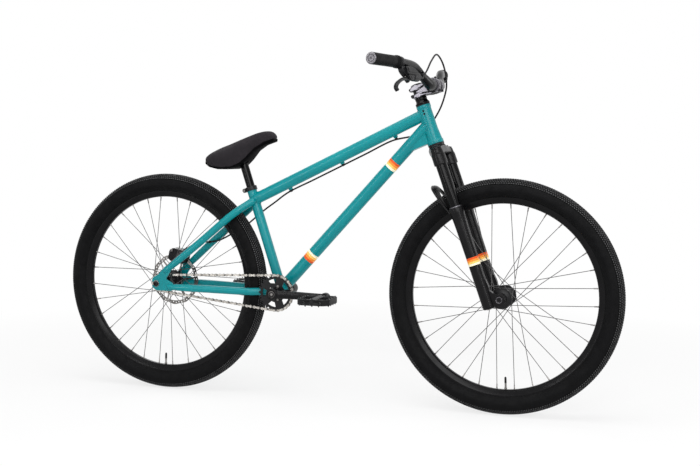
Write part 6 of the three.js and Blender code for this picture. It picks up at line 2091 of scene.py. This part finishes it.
def makeBrakeMaster():
    drop, radius = leverSizes["masterDrop"], leverSizes["masterRadius"]
    width, out = leverSizes["clampHalfWidth"], leverSizes["clampRadius"]
    clamp = sleeve(11.4, out, -width, width, 48, 1.4)
    local = [(clamp, "anodised", leverAxis(0, 0))]
    begin, end = leverSizes["masterStart"], leverSizes["masterEnd"]
    run = end - begin
    outline = [(0, 0), (7, 0), (9.6, 4), (radius, 12)]
    outline += [(radius, run - 12), (7.4, run - 4), (5.2, run), (0, run)]
    local.append((turned(outline, 40, 2.0, False), "anodised", leverAxis(begin, drop)))
    start, r = leverSizes["reservoirStart"], leverSizes["reservoirRadius"]
    span = leverSizes["reservoirEnd"] - start
    tank = [(0, 0), (r - 2.5, 0), (r - 0.1, 4), (r, span - 5), (r - 2.9, span), (0, span)]
    local.append((turned(tank, 40, 2.2, False), "anodised", leverAxis(start, drop)))
    for outline, low, high in ((leverOutlines["tank"], -13, 5), (leverOutlines["lid"], -14.6, -12)):
        body = plate(rounded(outline, 3, 3), low, high, edge=1.2)
        local.append((body, "anodised", sideOn()))
    r = leverSizes["spigotRadius"]
    spigot = [(0, 0), (r + 1, 0), (r + 1, 7), (r, 9), (r - 0.2, 17), (r - 1, 18), (0, 18)]
    local.append((turned(spigot, 24, 0.5, False), "plastic", leverAxis(end - 8, drop)))
    arm = rounded([(-7, -13), (7, -13), (24, -drop + 6), (24, -drop - 2), (6, -drop - 2), (-7, -26)], 4, 3)
    local.append((plate(arm, -6.4, 6.4), "anodised", sideOn()))
    pivotX, pivotZ = leverSizes["pivotInboard"], -leverSizes["pivotDrop"]
    cheek = [(pivotX - 13, -drop + 6), (pivotX + 16, -drop + 6), (pivotX + 12, pivotZ - 4)]
    cheek += [(pivotX + 4, pivotZ - 9), (pivotX - 5, pivotZ - 9), (pivotX - 12, pivotZ)]
    for low, high in ((-9.7, -4.9), (4.9, 9.7)):
        local.append((plate(rounded(cheek, 4, 3), low, high), "anodised", sideOn()))
    pin = turned([(0, -10.4), (3.6, -10.4), (3.6, 10.4), (0, 10.4)], 24, 0.5, False)
    across = leftward + place(0, 0, 1e-6)
    local.append((pin, "anodised", leverAxis(pivotX, -pivotZ, across)))
    for side in (-1, 1):
        spot = setting(place(0, side * 12.4, -6), leftward, forward, -upward)
        local.append((socketBolt(3, 5, 1.6, 2.4), "anodised", spot))
    shapes = [(*part, leverSetting) for part in local]
    piece("brakeMaster", "steering", shapes, "brake_master", bevel=0.8)


# The blade's middle line and half width: shares of its reach, its drop and its root radius.
bladeShares = [
    (-0.04, 0, 0.8), (0.12, 0.02, 0.78), (0.31, 0.06, 0.76), (0.46, 0.12, 0.74), (0.6, 0.23, 0.76),
    (0.76, 0.38, 0.8), (0.9, 0.56, 0.86), (0.99, 0.8, 0.9), (0.95, 1, 0.7),
]


def makeBlade():
    reach, drop, root = leverSizes["bladeReach"], leverSizes["bladeDrop"], leverSizes["bladeRoot"]
    pivotX, pivotZ = leverSizes["pivotInboard"], -leverSizes["pivotDrop"]
    points = [(pivotX - out * reach, 0, pivotZ - down * drop) for out, down, _ in bladeShares]
    middle = smoothLine(points, 40)
    along, stations = np.linspace(0, 1, 41), np.linspace(0, 1, len(bladeShares))
    wide = np.interp(along, stations, [share[2] for share in bladeShares]) * root
    thin, broad = leverSizes["bladeHalfThickness"], leverSizes["bladeHalfHeight"]
    halves = np.interp(along, (0, 0.35, 0.6, 1), (thin, thin, broad, broad * 0.9))
    ahead = np.gradient(middle, axis=0)
    rings = []
    for here, direction, w, half in zip(middle, ahead, wide, halves):
        across = unit(np.cross(direction, leftward))
        angles = roundAngles(20)
        depth = np.sign(np.sin(angles)) * np.abs(np.sin(angles)) ** 0.6 * half
        rings.append(here + np.outer(np.cos(angles) * w, across) + np.outer(depth, leftward))
    shapes = [(skin(rings), "anodised", leverSetting)]
    boss = sleeve(2.7, root, -thin, thin, 32, 0.6)
    seat = settingAlong(place(pivotX, 0, pivotZ), leftward)
    shapes.append((boss, "anodised", seat, leverSetting))
    screw = setting(place(pivotX - 0.2 * reach, 0, pivotZ + 4), leftward, forward, upward)
    shapes.append((socketBolt(2.2, 2.4, 1.1, 1.4), "bolt", screw, leverSetting))
    piece("brakeBlade", "brake_lever", shapes, "brake_lever_blade")


makeHeadsetCover()
makeStem()
makeFaceplate()
makeTopCap()
makeHandlebar()
for name, side in bothSides:
    makeGrip(name, side)
makeBrakeMaster()
makeBlade()
print("cockpit made")


# Fork

forkSizes = {
    "crownTop": -8.3,
    "socketRadius": 19.2,
    "socketFoot": -65.3,
    "steererRadius": 14.3,
    "steererTop": 174,
    "stanchionRadius": 16,
    "stanchionFoot": -297,
    "offset": 10,
    "spread": 64,
    "legTop": -190.3,
    "legFoot": -487.3,
    "legRadius": (18.4, 17.2),
    "archReach": 41,
    "archRise": 74,
    "archFlat": (0.55, 0, 0.83),
    "lugInner": 55.3,
    "lugThickness": 16,
    "lugRadius": 17.5,
}


def legSetting(side):
    top = setInto(steerSetting, place(forkSizes["offset"], side * forkSizes["spread"], 0))
    return setting(top, steerForward, leftward, steerUp)


def makeCrown():
    top, foot = forkSizes["crownTop"], forkSizes["socketFoot"]
    rings = []
    for share in np.linspace(-1, 1, 29):
        near = 1 - abs(share) ** 1.6
        x = forkSizes["offset"] * (1 - near) * 0.9
        halfDeep = 15.5 + 10.5 * near
        low = -34 - 2 * (1 - near)
        high = top - 9 * abs(share) ** 2.2
        ring = ovalRing(0, 0, halfDeep, (high - low) / 2, 4.0, 32)
        across = np.full(32, share * forkSizes["spread"])
        rings.append(np.column_stack([x + ring[:, 1], across, (high + low) / 2 + ring[:, 2]]))
    boss = turned([(14.6, top), (24.2, top), (25, top - 3), (25, -33), (14.6, -36)], 56, 1.5)
    radius, end = forkSizes["steererRadius"], forkSizes["steererTop"]
    steerer = turned([(0, -30), (radius, -30), (radius, end), (0, end)], 40, 0.6, False)
    shapes = [
        (skin(rings), "black", steerSetting),
        (boss, "black", steerSetting),
        (steerer, "anodised", steerSetting),
    ]
    radius = forkSizes["socketRadius"]
    socket = [(16.1, foot), (radius, foot), (radius + 0.4, foot + 3), (radius + 0.2, -36)]
    socket += [(radius - 1.6, -31), (radius - 2.2, -22), (13.5, -14.5), (9, -12.8), (0, -12.5)]
    dial = turned([(0, -12.8), (8, -12.8), (8, -9.6), (6.8, -8.6), (0, -8.6)], 32, 0.5, False)
    for side in (-1, 1):
        body = lathe(rounded(socket, 2.2, 4, False), 56)
        shapes.append((body, "black", legSetting(side)))
        shapes.append((dial, "anodised", legSetting(side)))
    piece("forkCrown", "steering", shapes, "fork_crown", sharp=45)


def makeStanchions():
    for name, side in bothSides:
        radius, foot = forkSizes["stanchionRadius"], forkSizes["stanchionFoot"]
        tubeShape = turned([(0, foot), (radius, foot), (radius, -16), (0, -16)], 56, 0.5, False)
        shapes = [(tubeShape, "sleeve", legSetting(side))]
        node = "stanchion_" + name
        piece("stanchion" + name.capitalize(), "steering", shapes, node)


# The brace behind the legs: shares of its reach back, half span and rise.
archShares = [
    (-0.13, 0.97, -0.25), (-0.47, 0.87, 0.18), (-0.81, 0.62, 0.68), (-0.98, 0.31, 0.93),
    (-1, 0, 1), (-0.98, -0.31, 0.93), (-0.81, -0.62, 0.68), (-0.47, -0.87, 0.18),
    (-0.13, -0.97, -0.25),
]


def makeArch():
    reach, spread, rise = forkSizes["archReach"], forkSizes["spread"], forkSizes["archRise"]
    top, flat = forkSizes["legTop"], place(*forkSizes["archFlat"])
    points = [place(back * reach, side * spread, top + up * rise) for back, side, up in archShares]
    line = smoothLine(points, 56)
    core = tube(line, 9.4, squash=0.55, squashAlong=flat)
    shapes = [(core, "black", steerSetting)]
    ahead = np.gradient(line, axis=0)
    for edge in (-1, 1):
        rail = np.array([p + unit(np.cross(unit(a), flat)) * edge * 8.4 for p, a in zip(line, ahead)])
        shapes.append((tube(*domed(rail, 3.1), 14), "black", steerSetting))
    return shapes


def legProfile():
    top, foot = forkSizes["legTop"], forkSizes["legFoot"]
    wide, narrow = forkSizes["legRadius"]
    collar = [(16.3, -6), (16.3, 0.2), (wide + 0.6, 0.2), (wide + 2, -1.2), (wide + 2, -14)]
    taper = [(wide + 0.8, -26), (wide, -44), (narrow + 0.5, -90), (narrow, -150)]
    upper = [(out, top + down) for out, down in collar + taper]
    end = [(narrow, 6), (narrow - 1.8, 1), (9, 0), (7.4, 1), (7.4, 4), (0, 4)]
    return upper + [(out, foot + up) for out, up in end]


def makeLowers():
    axleX, axleZ = bikeLayout["forkOffset"], -bikeLayout["axleToHeadTube"]
    offset, narrow = forkSizes["offset"], forkSizes["legRadius"][1]
    inner, outer = forkSizes["lugInner"], forkSizes["lugInner"] + forkSizes["lugThickness"]
    top, foot, front = forkSizes["legTop"], forkSizes["legFoot"], offset + narrow - 0.4
    lug = [(offset, foot + 3), (offset, axleZ + 66), (front, axleZ + 66), (front + 2, axleZ + 46),
           (27.5, axleZ + 33)]
    lug += [*arcPoints((axleX, axleZ), forkSizes["lugRadius"], 108, -122, 22),
            (offset + narrow / 2, foot + 2)]
    leg = lathe(rounded(legProfile(), 1.6, 4, False), 56)
    wiper = turned([(16.2, top - 2), (18.4, top - 2), (18, top + 2), (16.2, top + 2.6)], 56, 0.5)
    boss = turned([(8.4, -0.5), (17, -0.5), (16.2, 1.8), (10.4, 2.2), (8.4, 1.6)], 40, 0.8)
    lip = turned([(7.4, -0.5), (8.8, -0.5), (8.6, 2.4), (7.4, 2.2)], 40, 0.3)
    shapes = []
    for side in (-1, 1):
        shapes.append((leg, "leg", legSetting(side)))
        shapes.append((wiper, "faceplate", legSetting(side)))
        shapes.append((sidePlate(rounded(lug, 1.5, 2), side, inner, outer), "black", steerSide))
        face = settingAlong(setInto(steerSetting, place(axleX, side * outer, axleZ)), leftward * side)
        shapes.append((boss, "black", face))
        shapes.append((lip, "faceplate", face))
        end = setInto(legSetting(side), place(0, 0, foot + 4))
        nut = setting(end, steerForward, leftward, -steerUp)
        shapes.append((socketBolt(6.4, 5.6, 3, 3), "bolt", nut))
    piece("forkLowers", "fork_lowers", shapes + makeArch(), "fork_lowers", sharp=42, bevel=1.6)


def makeFrontAxle():
    half = forkSizes["lugInner"] + forkSizes["lugThickness"]
    centre = setInto(steerSetting, place(bikeLayout["forkOffset"], 0, -bikeLayout["axleToHeadTube"]))
    outline = [(0, 10 - half), (3.9, 10 - half), (3.9, -half - 0.6), (7.4, -half - 0.6), (7.4, half + 0.3)]
    outline += [(11, half + 0.3), (11, half + 6), (4, half + 6.3), (4, half + 1), (0, half + 1)]
    shape = movedBy(turned(outline, 48, 0.6, False), sideOn(centre))
    piece("frontAxle", "fork_lowers", [(shape, "anodised")], "front_axle")


makeCrown()
makeStanchions()
makeLowers()
makeFrontAxle()
print("fork made")


# Studio: a pale floor, a white surround and soft lamps

studioLook = {
    "floorSize": 40,
    "floorWhite": (0.86, 0.86, 0.86, 1),
    "shadowShare": 0.26,
    "shadowReach": (0.9, 2.2),
    "worldGrey": 0.32,
    "lamps": [
        {"name": "overheadSoftbox", "at": (0.1, -0.5, 2.6), "toward": (0, 0, 0.5), "size": (2.6, 1.6),
         "power": 44},
        {"name": "frontSoftbox", "at": (1.3, -3.3, 1.9), "toward": (0.1, 0, 0.5), "size": (2.6, 1.6),
         "power": 66},
        {"name": "rearSoftbox", "at": (-1.8, 2.2, 1.8), "toward": (0, 0, 0.6), "size": (1.6, 1.6),
         "power": 14},
        {"name": "rightSoftbox", "at": (3.0, 1.5, 0.9), "toward": (0.4, 0, 0.6), "size": (0.7, 1.8),
         "power": 20},
        {"name": "rightStrip", "at": (2.6, -1.9, 1.1), "toward": (0.4, 0, 0.6), "size": (0.14, 1.8),
         "power": 14},
        {"name": "leftStrip", "at": (-1.5, -2.8, 1.1), "toward": (0, 0, 0.6), "size": (0.16, 1.8),
         "power": 15},
    ],
}


def whiteRays(material):
    path = addNode(material, "LightPath")
    first = maths(material, "MAXIMUM", path.outputs["Is Camera Ray"], path.outputs["Is Glossy Ray"])
    return maths(material, "MAXIMUM", first, path.outputs["Is Transmission Ray"])


# White where it is seen; the light that falls on it shows near the wheels, and fades out beyond them.
def makeFloor():
    size = studioLook["floorSize"] / 2
    data = bpy.data.meshes.new("studioFloor")
    corners = [(-size, -size, 0), (size, -size, 0), (size, size, 0), (-size, size, 0)]
    data.from_pydata(corners, [], [(0, 1, 2, 3)])
    floor = newObject("studioFloor", data)
    floor.location = (0, 0, -0.0004)
    material = newFinish("studioFloorWhite", Roughness=0.9, Specular_IOR_Level=0.0)
    principled(material).inputs["Base Color"].default_value = studioLook["floorWhite"]
    away = vectorMaths(material, "LENGTH", objectPoint(material))["Value"]
    lit = ranged(material, away, 1 - studioLook["shadowShare"], 1, *studioLook["shadowReach"])
    glow = addNode(material, "Emission")
    mix = addNode(material, "MixShader")
    wire(material, maths(material, "MULTIPLY", whiteRays(material), lit), mix.inputs[0])
    wire(material, principled(material).outputs[0], mix.inputs[1])
    wire(material, glow.outputs[0], mix.inputs[2])
    wire(material, mix.outputs[0], material.node_tree.nodes["Material Output"].inputs["Surface"])
    data.materials.append(material)


def makeWorld():
    world = bpy.data.worlds.new("studio")
    bpy.context.scene.world = world
    world.use_nodes = True
    background = world.node_tree.nodes["Background"]
    grey = [studioLook["worldGrey"]] * 3 + [1.0]
    shade = mixedColour(world, whiteRays(world), grey, [1.0] * 4)
    wire(world, shade, background.inputs["Color"])
    background.inputs["Strength"].default_value = 1.0


def makeLamps():
    for look in studioLook["lamps"]:
        data = bpy.data.lights.new(look["name"], "AREA")
        data.shape = "RECTANGLE"
        data.size, data.size_y = look["size"]
        data.energy = look["power"]
        lamp = newObject(look["name"], data)
        lamp.location = look["at"]
        aim = Vector(look["toward"]) - Vector(look["at"])
        lamp.rotation_euler = aim.to_track_quat("-Z", "Y").to_euler()


makeFloor()
makeWorld()
makeLamps()
bpy.context.scene.view_settings.view_transform = "Standard"
print("studio made")
